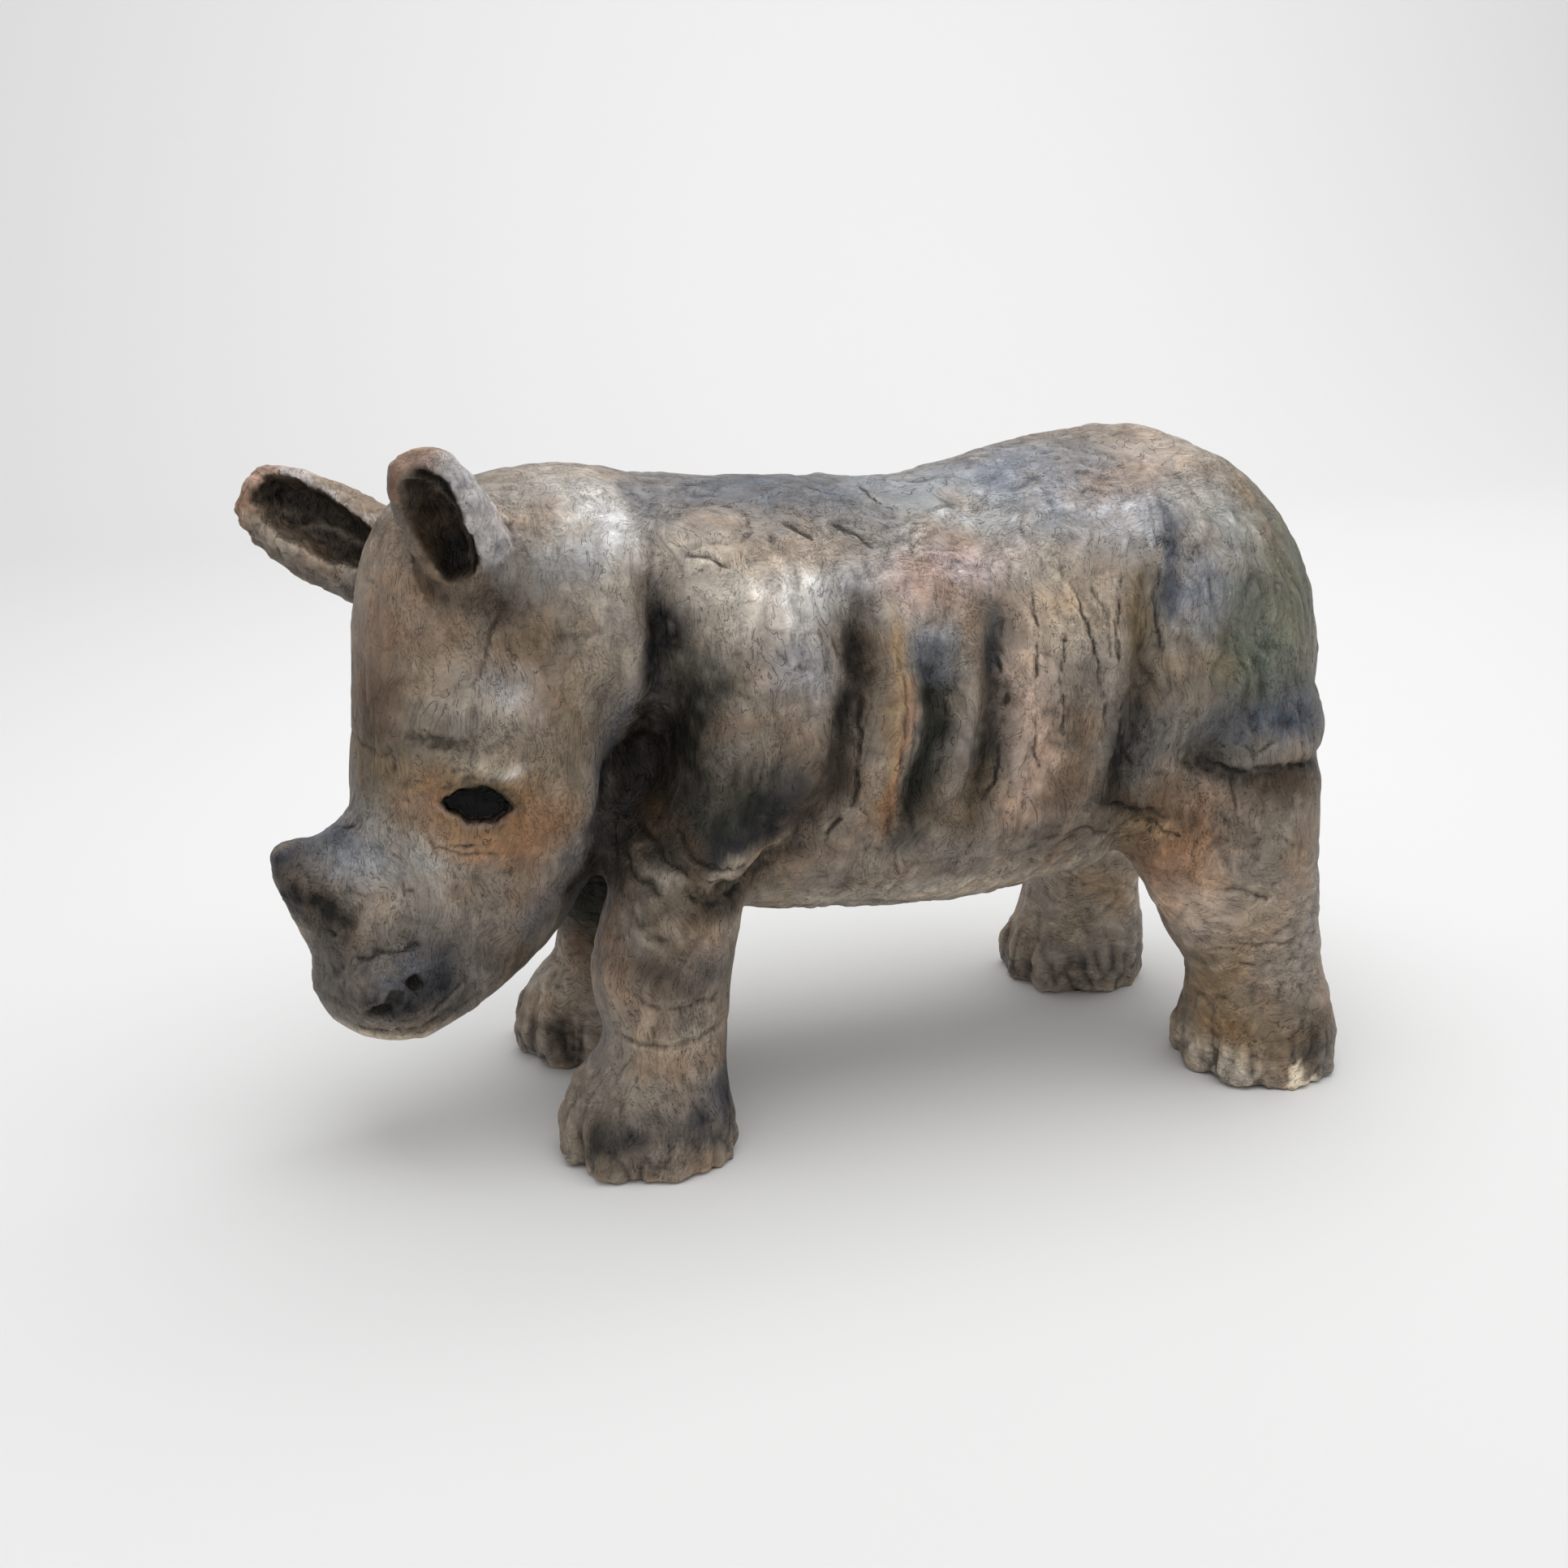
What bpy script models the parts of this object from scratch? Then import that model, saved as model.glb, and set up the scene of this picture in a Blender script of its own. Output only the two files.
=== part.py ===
"""Rhinoceros calf figurine: one hollow papier-mache work, standing on its four feet, as one faceted solid.

The calf faces -X, its left flank is at -Y, and it stands on Z = 0.
The trunk, neck, head, legs, horn and ears are lofted one by one, fused, and softened where they join.
Then the skin is carved: eyes, nostrils, mouth, folds of the hide and toes.
"""

import bpy
import bmesh
import numpy as np

# The driving dimension, in metres: from the tip of the horn to the rump.
FIGURE_LENGTH = 0.600

# Every place, reach and depth below is counted in shares of that length: horn tip and rump lie 598.3 shares apart.
SHARE = FIGURE_LENGTH / 598.3

# How finely the masses are fused into one skin, and how many times each skin is then smoothed.
BODY_CELL = 5.0
BODY_PASSES = 8
SKIN_CELL = 3.2
SKIN_PASSES = 3

# How many triangles the finished solid keeps.
SKIN_TRIANGLES = 9700

POINTS_ROUND_A_RING = 40
RINGS_PER_SPAN = 4
BALL_LATITUDES = range(-84, 85, 12)
NEAR, FAR = -1, 1

# The whole head is turned about this upright axis, towards the left flank.
HEAD_TURN_DEG = 10.0
HEAD_PIVOT = (-150.0, 0.0)

# x, top, bottom, half width, egg: how much wider the top is than the bottom.
TRUNK = (
    (-170, 318, 236, 42, 0.00),
    (-150, 331, 206, 62, 0.12),
    (-120, 332, 148, 84, 0.04),
    (-80, 330, 110, 99, -0.08),
    (-30, 329, 102, 103, -0.10),
    (30, 325, 97, 105, -0.12),
    (85, 338, 99, 106, -0.10),
    (140, 347, 107, 107, -0.06),
    (174, 348, 120, 105, -0.02),
    (205, 338, 134, 93, 0.00),
    (236, 320, 148, 75, 0.00),
    (260, 294, 160, 55, 0.00),
    (277, 262, 174, 38, 0.00),
    (287, 230, 192, 22, 0.00),
)

# x, top, bottom, half width, egg.
NECK = (
    (-70, 320, 160, 74, 0.00),
    (-110, 332, 176, 78, 0.12),
    (-150, 338, 196, 68, 0.20),
    (-185, 334, 212, 60, 0.15),
    (-205, 320, 230, 46, 0.00),
)

# Brow side x and z, jaw side x and z, half width, egg: how much wider the brow side is.
HEAD = (
    (-206, 331, -168, 332, 26, 0.00),
    (-230, 322, -142, 320, 48, 0.00),
    (-245, 300, -126, 288, 60, 0.00),
    (-252, 270, -120, 246, 65, 0.00),
    (-254, 238, -118, 206, 67, 0.02),
    (-255, 208, -126, 172, 66, 0.02),
    (-259, 180, -141, 144, 61, -0.08),
    (-268, 152, -157, 118, 54, -0.20),
    (-278, 126, -176, 96, 48, -0.28),
    (-284, 104, -197, 81, 45, -0.25),
    (-284, 85, -216, 71, 42, -0.15),
    (-273, 69, -234, 62, 32, 0.00),
)

# Upper x and z, lower x and z, half width, egg: how much narrower the upper edge is.
HORN = (
    (-244, 192, -262, 92, 38, -0.35),
    (-258, 181, -279, 102, 32, -0.35),
    (-272, 172, -289, 118, 24, -0.35),
    (-284, 168, -296, 135, 17, -0.30),
    (-294, 168, -301, 149, 10, -0.25),
    (-300, 165, -303, 156, 5, 0.00),
)
HORN_FULLNESS = 1.75

# z, front x, back x, middle y, half width. The foot may stand ahead of the hip by its own stride.
FORE_LEG = (
    (-6, -168, -84, 64, 42),
    (12, -172, -84, 64, 45),
    (34, -167, -88, 64, 42),
    (48, -153, -89, 64, 38),
    (66, -148, -87, 64, 35),
    (94, -155, -84, 64, 35),
    (122, -147, -79, 66, 36),
    (155, -141, -71, 67, 38),
    (190, -132, -60, 64, 38),
    (225, -114, -54, 60, 31),
    (262, -104, -64, 52, 20),
)
NEAR_HIND_LEG = (
    (-6, 184, 263, 80, 42),
    (12, 181, 265, 80, 45),
    (34, 184, 263, 80, 42),
    (56, 184, 256, 79, 39),
    (82, 168, 252, 78, 41),
    (112, 152, 250, 76, 45),
    (142, 143, 250, 72, 48),
    (176, 144, 255, 66, 48),
    (216, 152, 252, 58, 44),
    (256, 170, 240, 48, 32),
)
FAR_HIND_LEG = (
    (-6, 184, 263, 80, 42),
    (12, 181, 265, 80, 45),
    (34, 184, 263, 80, 42),
    (56, 186, 254, 79, 39),
    (82, 181, 250, 78, 40),
    (112, 168, 248, 76, 43),
    (142, 156, 250, 72, 46),
    (176, 150, 255, 66, 47),
    (216, 154, 252, 58, 44),
    (256, 170, 240, 48, 32),
)
# Each leg: its stations, side, stride and extra spread of the foot, fading out at the hip,
# and how far the shin leans back between.
LEGS = (
    (FORE_LEG, NEAR, 0, 4, 0),
    (FORE_LEG, FAR, 5, 8, 6),
    (NEAR_HIND_LEG, NEAR, 0, 3, 0),
    (FAR_HIND_LEG, FAR, -34, -6, 0),
)
STANCE_FADES_AT = 190.0

# Tail lying down the rump: x, z, radius.
TAIL = (
    (262, 290, 9),
    (278, 270, 9),
    (287, 246, 8),
    (292, 220, 7),
    (293, 196, 7),
    (291, 178, 8),
    (288, 164, 4),
)

# Ears: base, tip, the direction that the scoop opens to, width and depth of the rolled leaf,
# and the scoop's width and how far it lies off the leaf's middle, towards the neck.
NEAR_EAR = ((-202, -58, 298), (-229, -72, 352), (-0.66, -0.75, 0.0), 46, 36, 24, 3)
FAR_EAR = ((-226, 42, 285), (-292, 70, 324), (-0.20, -0.95, -0.3), 54, 38, 27, 8)

# Share of the ear's length, and its width there as a share of the widest.
EAR_OUTLINE = (
    (-0.35, 0.78),
    (0.00, 0.93),
    (0.25, 1.00),
    (0.50, 0.98),
    (0.76, 0.85),
    (0.92, 0.66),
    (1.00, 0.36),
)

# The same for the scoop in it, which narrows to the ear's root and to its tip.
SCOOP_OUTLINE = (
    (0.02, 0.40),
    (0.20, 0.80),
    (0.45, 1.00),
    (0.70, 0.92),
    (0.86, 0.62),
    (0.91, 0.35),
)

# How far the scoop is moved out of the leaf, as a share of the ear's depth.
EAR_SCOOP_SHIFT = 0.28

# Muscles fused in to round the joins: centre on one side, reach along X, Y and Z, and whether the head has it.
MUSCLES = (
    ((-76, -64, 208), (40, 34, 70), False),
    ((190, -58, 220), (60, 45, 84), False),
    ((-178, -44, 186), (42, 25, 50), True),
    ((-255, -36, 98), (23, 16, 18), True),
)

# Share of a fold's length over which it fades at each end, and the share of its depth left at the very end.
FOLD_FADE = 0.18
FOLD_END = 0.15

# How far a skin's normal may turn towards the middle before carving fades, and over how much more it fades out.
TURNED_IN = 0.35
TURNED_IN_FADE = 0.50

# Folds of the hide, seen from the left: x and z along each, half width, depth. A negative depth stands proud.
FOLDS = (
    ("neck crease", ((-118, 322), (-116, 286), (-115, 252), (-119, 222), (-128, 196), (-140, 172)), 15, 9),
    ("shoulder front", ((-88, 236), (-99, 209), (-112, 184), (-128, 158)), 7, 2),
    ("shoulder rear", ((-31, 272), (-30, 240), (-31, 214), (-42, 186), (-60, 160), (-84, 142)), 9, 6),
    ("over the elbow", ((-66, 162), (-86, 153), (-108, 151), (-120, 164)), 5, -2),
    ("shoulder swell", ((-66, 256), (-64, 214), (-80, 178)), 22, -4),
    ("second rib hollow", ((13, 262), (12, 231), (9, 204), (-4, 164)), 8, 7.5),
    ("third rib hollow", ((50, 272), (44, 234), (40, 204), (31, 166)), 8, 7),
    ("first rib", ((-10, 256), (-9, 215), (-18, 176)), 9, -2.5),
    ("second rib", ((31, 256), (27, 218), (18, 172)), 7, -2.5),
    ("third rib", ((64, 262), (60, 220), (50, 176)), 7, -1.5),
    ("flank crease", ((101, 290), (97, 266), (99, 244), (103, 222), (110, 192)), 6, 3),
    ("haunch front", ((151, 312), (143, 292), (134, 257), (121, 210), (117, 180), (130, 146)), 12, 5),
    ("haunch brim", ((154, 210), (182, 194), (214, 193), (242, 197), (286, 208)), 12, -2),
    ("groin", ((120, 150), (138, 128), (150, 108)), 8, 4),
)

# Ledges of the hide, seen from the left: x and z along each edge, how far the skin beside it takes to rise again,
# and the drop. The dropped skin lies on the left hand of someone who walks along the edge.
LEDGES = (
    ("cheek", ((-124, 296), (-127, 266), (-128, 240), (-134, 208), (-142, 184), (-154, 158)), 17, 14),
    ("haunch", ((128, 150), (120, 180), (124, 210), (137, 257), (147, 292)), 14, 5),
    ("haunch shelf", ((286, 192), (240, 182), (212, 176), (184, 176), (162, 184), (148, 198)), 13, 5),
    ("elbow", ((-66, 157), (-84, 147), (-108, 144), (-118, 150), (-125, 166), (-127, 178)), 13, 6),
)
LEDGE_LIP = 3.5

# The head's own carving fades in ahead of this place, over this distance.
HEAD_CARVED_FROM = -118.0
HEAD_CARVED_FADE = 12.0

# The same on the head, before it is turned.
HEAD_FOLDS = (
    ("mouth", ((-282, 84), (-262, 80), (-245, 80), (-232, 84), (-220, 96)), 3.5, 1.6),
    ("lower lid", ((-238, 184), (-222, 174), (-204, 178)), 3.5, 0.8),
)

# Hollows and swellings of the head: x and z, reach along X and Z, tilt in degrees, depth.
HEAD_HOLLOWS = (
    ("round the eye", (-219, 194), (32, 27), 0, -3.5),
    ("brow", (-224, 220), (22, 10), -12, -2.5),
    ("eye socket", (-219, 193), (15, 10), -6, 7.0),
    ("eyeball", (-219, 193), (9, 6.5), -6, -3.5),
    ("front nostril", (-265, 91), (7, 5), 40, 4.5),
    ("rear nostril", (-250, 103), (6, 5), 40, 4.0),
    ("temple", (-200, 256), (28, 24), 0, 3.0),
)

# Toes: bearing of each cleft from straight ahead in degrees, its depth, and the swelling of each toe between.
TOE_CLEFTS_DEG = (-66, -22, 22, 66)
TOE_CLEFT_HALF_DEG = 9.0
TOE_CLEFT_DEPTH = 4.0
TOE_SWELL_HALF_DEG = 14.0
TOE_SWELL = 2.5
TOE_HEIGHT = 34.0
TOE_FADE = 14.0

# Toes are pressed into skin this far from the middle of the sole, as shares of the foot's half width.
TOE_REACH = (0.5, 1.5)

# Skin this near the floor belongs to a sole.
LEVEL_WITHIN = 0.3

# The head, ahead of this place, and the toes keep finer triangles than plain skin: each collapse there costs more
# by this much of its edge's length.
HEAD_FROM = -150.0
HEAD_FROM_FADE = 20.0
FEET_FADE = 10.0
KEPT_FINER = 1e-4

# The weight of plain skin where the fine places are, since skin of no weight keeps every triangle.
LEAST_WEIGHT = 0.02

PAINT_COLOUR = (0.19, 0.15, 0.115, 1)
PAINT_ROUGHNESS = 0.55


def ring(front, back, half_width, egg=0.0, middle_y=0.0, fullness=2.15):
    """A closed egg-shaped outline: its long axis runs from back to front in the XZ plane, its width along Y."""
    turn = np.linspace(0, 2 * np.pi, POINTS_ROUND_A_RING, endpoint=False)
    along = np.sign(np.cos(turn)) * np.abs(np.cos(turn)) ** (2 / fullness)
    across = np.sign(np.sin(turn)) * np.abs(np.sin(turn)) ** (2 / fullness)
    front, back = np.array(front, float), np.array(back, float)
    centre, reach = (front + back) / 2, (front - back) / 2
    wide = half_width * (1 + egg * along)
    return np.column_stack(
        [centre[0] + reach[0] * along, middle_y + wide * across, centre[1] + reach[1] * along]
    )


def eased(stations):
    """The stations with RINGS_PER_SPAN steps between each two, on a curve that passes through them all."""
    table = np.array(stations, float)
    padded = np.vstack([2 * table[0] - table[1], table, 2 * table[-1] - table[-2]])
    rows = []
    for a, b, c, d in zip(padded, padded[1:], padded[2:], padded[3:]):
        for t in np.arange(RINGS_PER_SPAN) / RINGS_PER_SPAN:
            bend = (2 * a - 5 * b + 4 * c - d) * t**2 + (3 * b - a - 3 * c + d) * t**3
            rows.append(b + ((c - a) * t + bend) / 2)
    rows.append(table[-1])
    return rows


def skinned(name, rings):
    """A closed shell over rings of equal point counts, with a flat cap at each end, in metres."""
    mesh = bpy.data.meshes.new(name)
    shell = bmesh.new()
    loops = [[shell.verts.new(point * SHARE) for point in outline] for outline in rings]
    for one, other in zip(loops, loops[1:]):
        for i in range(len(one)):
            j = (i + 1) % len(one)
            shell.faces.new((one[i], one[j], other[j], other[i]))
    shell.faces.new(loops[0])
    shell.faces.new(loops[-1])
    bmesh.ops.recalc_face_normals(shell, faces=shell.faces)
    shell.to_mesh(mesh)
    shell.free()
    piece = bpy.data.objects.new(name, mesh)
    bpy.context.scene.collection.objects.link(piece)
    return piece


def turned_head(points, back=False, pivot=HEAD_PIVOT):
    """Points of the head, turned about the head's upright axis towards the left flank, or turned back again."""
    angle = np.radians(-HEAD_TURN_DEG if back else HEAD_TURN_DEG)
    x, y = points[:, 0] - pivot[0], points[:, 1] - pivot[1]
    return np.column_stack(
        [
            pivot[0] + x * np.cos(angle) - y * np.sin(angle),
            pivot[1] + x * np.sin(angle) + y * np.cos(angle),
            points[:, 2],
        ]
    )


def barrel(name, stations):
    """The trunk or the neck: upright outlines along X."""
    return skinned(name, [ring((x, top), (x, low), half, egg) for x, top, low, half, egg in eased(stations)])


def head():
    rings = [ring((fx, fz), (bx, bz), half, egg) for fx, fz, bx, bz, half, egg in eased(HEAD)]
    return skinned("head", [turned_head(outline) for outline in rings])


def leg(name, stations, side, stride, spread, lean):
    """A leg on one side, with its foot set forward by the stride and outward by the spread."""
    rings = []
    for z, front, back, middle, half in eased(stations):
        share = np.clip(1 - z / STANCE_FADES_AT, 0, 1)
        shift = stride * share + lean * np.sin(np.pi * share)
        rings.append(ring((front + shift, z), (back + shift, z), half, 0, side * (middle + spread * share)))
    return skinned(name, rings)


def ball(name, centre, reach, turned=False):
    """An ellipsoid of muscle, fused into the body to round a join."""
    turn = np.linspace(0, 2 * np.pi, POINTS_ROUND_A_RING, endpoint=False)
    rings = []
    for latitude in np.radians(BALL_LATITUDES):
        flat, height = np.cos(latitude), np.full(turn.shape, np.sin(latitude))
        outline = np.column_stack([np.cos(turn) * flat, np.sin(turn) * flat, height])
        points = np.array(centre) + outline * np.array(reach)
        rings.append(turned_head(points) if turned else points)
    return skinned(name, rings)


def horn():
    rings = [
        ring((ux, uz), (lx, lz), half, egg, 0, HORN_FULLNESS) for ux, uz, lx, lz, half, egg in eased(HORN)
    ]
    return skinned("horn", [turned_head(outline) for outline in rings])


def tail():
    """A short round tail along its path, with upright oval sections."""
    return skinned("tail", [ring((x - r, z), (x + r, z), r) for x, z, r in eased(TAIL)])


def leaf(name, base, tip, opening, wide, deep, outline, shift=0.0, aside=0.0):
    """A long oval along the ear, its sections wide across the opening and deep along it.

    It's moved out of the opening by the shift, and across it by the other.
    """
    lengthwise = (tip - base) / np.linalg.norm(tip - base)
    outward = opening - lengthwise * (opening @ lengthwise)
    outward /= np.linalg.norm(outward)
    across = np.cross(lengthwise, outward)
    turn = np.linspace(0, 2 * np.pi, POINTS_ROUND_A_RING, endpoint=False)
    rings = []
    for t, swell in eased(outline):
        middle = base + (tip - base) * t + outward * shift + across * aside
        rings.append(
            middle
            + np.outer(np.cos(turn) * deep / 2 * swell, outward)
            + np.outer(np.sin(turn) * wide / 2 * swell, across)
        )
    return skinned(name, rings)


def ear(name, base, tip, opening, wide, deep, scoop_width, aside):
    """A rolled leaf: a thick oval with a scoop cut from the side that it opens to."""
    base, tip, opening = (np.array(v, float) for v in (base, tip, opening))
    shell = leaf(name, base, tip, opening, wide, deep, EAR_OUTLINE)
    shift = deep * EAR_SCOOP_SHIFT
    scoop = leaf("scoop", base, tip, opening, scoop_width, deep, SCOOP_OUTLINE, shift, aside)
    cut = shell.modifiers.new("scoop", "BOOLEAN")
    cut.operation = "DIFFERENCE"
    cut.object = scoop
    shell.data = evaluated(shell)
    shell.modifiers.clear()
    bpy.data.objects.remove(scoop)
    return shell


def evaluated(piece):
    """A new mesh with the piece's modifiers applied."""
    bpy.context.view_layer.update()
    return bpy.data.meshes.new_from_object(piece.evaluated_get(bpy.context.evaluated_depsgraph_get()))


def fused(name, pieces, cell, passes):
    """The pieces as one closed skin, softened by a number of smoothing passes."""
    joined = bmesh.new()
    for piece in pieces:
        joined.from_mesh(piece.data)
        bpy.data.objects.remove(piece)
    mesh = bpy.data.meshes.new(name)
    joined.to_mesh(mesh)
    joined.free()
    whole = bpy.data.objects.new(name, mesh)
    bpy.context.scene.collection.objects.link(whole)
    remesh = whole.modifiers.new("one skin", "REMESH")
    remesh.mode = "VOXEL"
    remesh.voxel_size = cell * SHARE
    soften = whole.modifiers.new("softened joins", "SMOOTH")
    soften.factor = 0.5
    soften.iterations = passes
    whole.data = evaluated(whole)
    whole.modifiers.clear()
    return whole


def array_of(piece, values):
    """A three-part property of a piece's vertices, one row for each."""
    found = np.zeros(len(piece.data.vertices) * 3, np.float32)
    piece.data.vertices.foreach_get(values, found)
    return found.reshape(-1, 3).astype(float)


def places(piece):
    """Where a piece's vertices are, in shares."""
    return array_of(piece, "co") / SHARE


def move_to(piece, points):
    """Moves a piece's vertices to these places, given in shares."""
    piece.data.vertices.foreach_set("co", (points * SHARE).astype(np.float32).ravel())
    piece.data.update()


def along_path(points, path):
    """Distance of each point, in the side view, from a path, and how far along the path it is, from 0 to 1."""
    path = np.array(path, float)
    steps = np.linalg.norm(np.diff(path, axis=0), axis=1)
    starts = np.concatenate([[0], np.cumsum(steps)])
    nearest = np.full(len(points), np.inf)
    share = np.zeros(len(points))
    for a, b, step, start in zip(path, path[1:], steps, starts):
        t = np.clip((points - a) @ (b - a) / step**2, 0, 1)
        gap = np.linalg.norm(points - (a + t[:, None] * (b - a)), axis=1)
        closer = gap < nearest
        nearest = np.where(closer, gap, nearest)
        share = np.where(closer, (start + t * step) / starts[-1], share)
    return nearest, share


def left_of(points, path):
    """Whether each point, in the side view, lies on the left hand of the path's nearest span."""
    path = np.array(path, float)
    nearest = np.full(len(points), np.inf)
    left = np.zeros(len(points), bool)
    for a, b in zip(path, path[1:]):
        ahead, offset = b - a, points - a
        t = np.clip(offset @ ahead / (ahead @ ahead), 0, 1)
        gap = np.linalg.norm(offset - t[:, None] * ahead, axis=1)
        closer = gap < nearest
        left = np.where(closer, ahead[0] * offset[:, 1] - ahead[1] * offset[:, 0] > 0, left)
        nearest = np.where(closer, gap, nearest)
    return left


def facing(normals, side):
    """1 where the skin faces out on that side, falling to 0 where it faces the middle."""
    return np.clip((normals[:, 1] * side + TURNED_IN) / TURNED_IN_FADE, 0, 1)


def fold_depth(points, normals, side, path, half_width, depth):
    """A rounded furrow along a path seen from the side, running out to nothing at both its ends."""
    gap, share = along_path(points[:, [0, 2]], path)
    fades = np.clip(np.minimum(share, 1 - share) / FOLD_FADE, FOLD_END, 1)
    on_side = facing(normals, side) * (points[:, 1] * side > 0)
    return depth * np.exp(-((gap / half_width) ** 2)) * fades * on_side


def hollow_depth(points, normals, side, centre, reach, tilt, depth):
    """An oval hollow with a flat floor, seen from the side."""
    offset = points[:, [0, 2]] - np.array(centre, float)
    angle = np.radians(tilt)
    across = (offset[:, 0] * np.cos(angle) + offset[:, 1] * np.sin(angle)) / reach[0]
    upright = (offset[:, 1] * np.cos(angle) - offset[:, 0] * np.sin(angle)) / reach[1]
    on_side = facing(normals, side) * (points[:, 1] * side > 0)
    return depth * np.exp(-((across**2 + upright**2) ** 1.5)) * on_side


def ledge_depth(points, normals, side, path, run, drop):
    """A sharp drop at an edge seen from the side, on its left hand, rising again over the run."""
    gap, share = along_path(points[:, [0, 2]], path)
    fades = np.clip(np.minimum(share, 1 - share) / FOLD_FADE, 0, 1)
    reach = np.where(left_of(points[:, [0, 2]], path), run, LEDGE_LIP)
    on_side = facing(normals, side) * (points[:, 1] * side > 0)
    return drop * np.exp(-((gap / reach) ** 2)) * fades * on_side


def toe_depth(points, leg_stations, side, stride, spread):
    """Clefts between the toes of one foot, and a swelling of each toe."""
    _, front, back, middle, half = leg_stations[1]
    centre = np.array([(front + back) / 2 + stride, side * (middle + spread)])
    offset = points[:, :2] - centre
    reach = np.linalg.norm(offset, axis=1)
    bearing = np.degrees(np.arctan2(offset[:, 1], -offset[:, 0])) * -side
    inner, outer = TOE_REACH
    on_foot = (reach > half * inner) & (reach < half * outer)
    low = np.clip((TOE_HEIGHT - points[:, 2]) / TOE_FADE, 0, 1)
    depth = np.zeros(len(points))
    for cleft in TOE_CLEFTS_DEG:
        depth += TOE_CLEFT_DEPTH * np.exp(-(((bearing - cleft) / TOE_CLEFT_HALF_DEG) ** 2))
    for one, other in zip(TOE_CLEFTS_DEG, TOE_CLEFTS_DEG[1:]):
        middle_of_toe = (one + other) / 2
        depth -= TOE_SWELL * np.exp(-(((bearing - middle_of_toe) / TOE_SWELL_HALF_DEG) ** 2))
    return depth * low * on_foot


def carve(piece):
    """Presses the folds, hollows and toes into the skin, along its normals."""
    points, normals = places(piece), array_of(piece, "normal")
    at_home, home_normals = turned_head(points, back=True), turned_head(normals, back=True, pivot=(0, 0))
    of_head = np.clip((HEAD_CARVED_FROM - at_home[:, 0]) / HEAD_CARVED_FADE, 0, 1)
    depth = np.zeros(len(points))
    for side in (NEAR, FAR):
        for _, path, half_width, deep in FOLDS:
            depth += fold_depth(points, normals, side, path, half_width, deep)
        for _, path, run, drop in LEDGES:
            depth += ledge_depth(points, normals, side, path, run, drop)
        for _, path, half_width, deep in HEAD_FOLDS:
            depth += of_head * fold_depth(at_home, home_normals, side, path, half_width, deep)
        for _, centre, reach, tilt, deep in HEAD_HOLLOWS:
            depth += of_head * hollow_depth(at_home, home_normals, side, centre, reach, tilt, deep)
    for stations, side, stride, spread, _ in LEGS:
        depth += toe_depth(points, stations, side, stride, spread)
    move_to(piece, points - normals * depth[:, None])


def stand_flat(piece):
    """Cuts the feet off level at the floor and closes each sole with a flat face."""
    body = bmesh.new()
    body.from_mesh(piece.data)
    whole = body.verts[:] + body.edges[:] + body.faces[:]
    cut = bmesh.ops.bisect_plane(body, geom=whole, plane_co=(0, 0, 0), plane_no=(0, 0, 1), clear_inner=True)
    rims = [edge for edge in cut["geom_cut"] if isinstance(edge, bmesh.types.BMEdge)]
    bmesh.ops.holes_fill(body, edges=rims)
    bmesh.ops.triangulate(body, faces=body.faces[:])
    body.to_mesh(piece.data)
    body.free()


def lighten(piece, triangles):
    """Fewer, larger triangles where the skin is plain, and the soles kept exactly level."""
    points = places(piece)
    of_head = np.clip((HEAD_FROM - points[:, 0]) / HEAD_FROM_FADE, 0, 1)
    of_feet = np.clip((TOE_HEIGHT - points[:, 2]) / FEET_FADE, 0, 1)
    plain = piece.vertex_groups.new(name="plain skin")
    for index, weight in enumerate(np.clip(1 - np.maximum(of_head, of_feet), LEAST_WEIGHT, 1)):
        plain.add([index], float(weight), "REPLACE")
    fewer = piece.modifiers.new("fewer triangles", "DECIMATE")
    fewer.vertex_group = plain.name
    fewer.vertex_group_factor = KEPT_FINER
    fewer.ratio = triangles / len(piece.data.polygons)
    piece.data = evaluated(piece)
    piece.modifiers.clear()
    piece.vertex_groups.clear()
    points = places(piece)
    points[points[:, 2] < LEVEL_WITHIN, 2] = 0.0
    move_to(piece, points)


def centre(piece):
    """Moves the figure so that its bounding box is centred over the origin and stands on the floor."""
    points = places(piece)
    low, high = points.min(axis=0), points.max(axis=0)
    middle = (low + high) / 2
    move_to(piece, points - (middle[0], middle[1], low[2]))


def painted_papier_mache():
    """Taupe paint with a slight sheen."""
    paint = bpy.data.materials.new("painted papier-mache")
    paint.use_nodes = True
    shader = paint.node_tree.nodes["Principled BSDF"]
    shader.inputs["Base Color"].default_value = PAINT_COLOUR
    shader.inputs["Roughness"].default_value = PAINT_ROUGHNESS
    shader.inputs["Metallic"].default_value = 0.0
    return paint


def main():
    for old in list(bpy.data.objects):
        bpy.data.objects.remove(old)
    masses = [barrel("trunk", TRUNK), barrel("neck", NECK), head(), tail()]
    for stations, side, stride, spread, lean in LEGS:
        masses.append(leg("leg", stations, side, stride, spread, lean))
    for (x, y, z), reach, of_head in MUSCLES:
        for mirror in (1, -1):
            masses.append(ball("muscle", (x, y * mirror, z), reach, of_head))
    body = fused("body", masses, BODY_CELL, BODY_PASSES)
    pieces = [body, horn(), ear("near ear", *NEAR_EAR), ear("far ear", *FAR_EAR)]
    calf = fused("rhinoceros_figurine", pieces, SKIN_CELL, SKIN_PASSES)
    carve(calf)
    stand_flat(calf)
    lighten(calf, SKIN_TRIANGLES)
    centre(calf)
    calf.data.shade_smooth()
    calf.data.materials.append(painted_papier_mache())


main()
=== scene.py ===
"""Looks of the rhinoceros calf: a fine papier-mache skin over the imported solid, and its blended paint.

The calf faces -X, its left flank is at -Y, and it stands on Z = 0.
Places, reaches and depths on it are in millimetres, in the part's own frame. The studio is in metres.
"""

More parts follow.
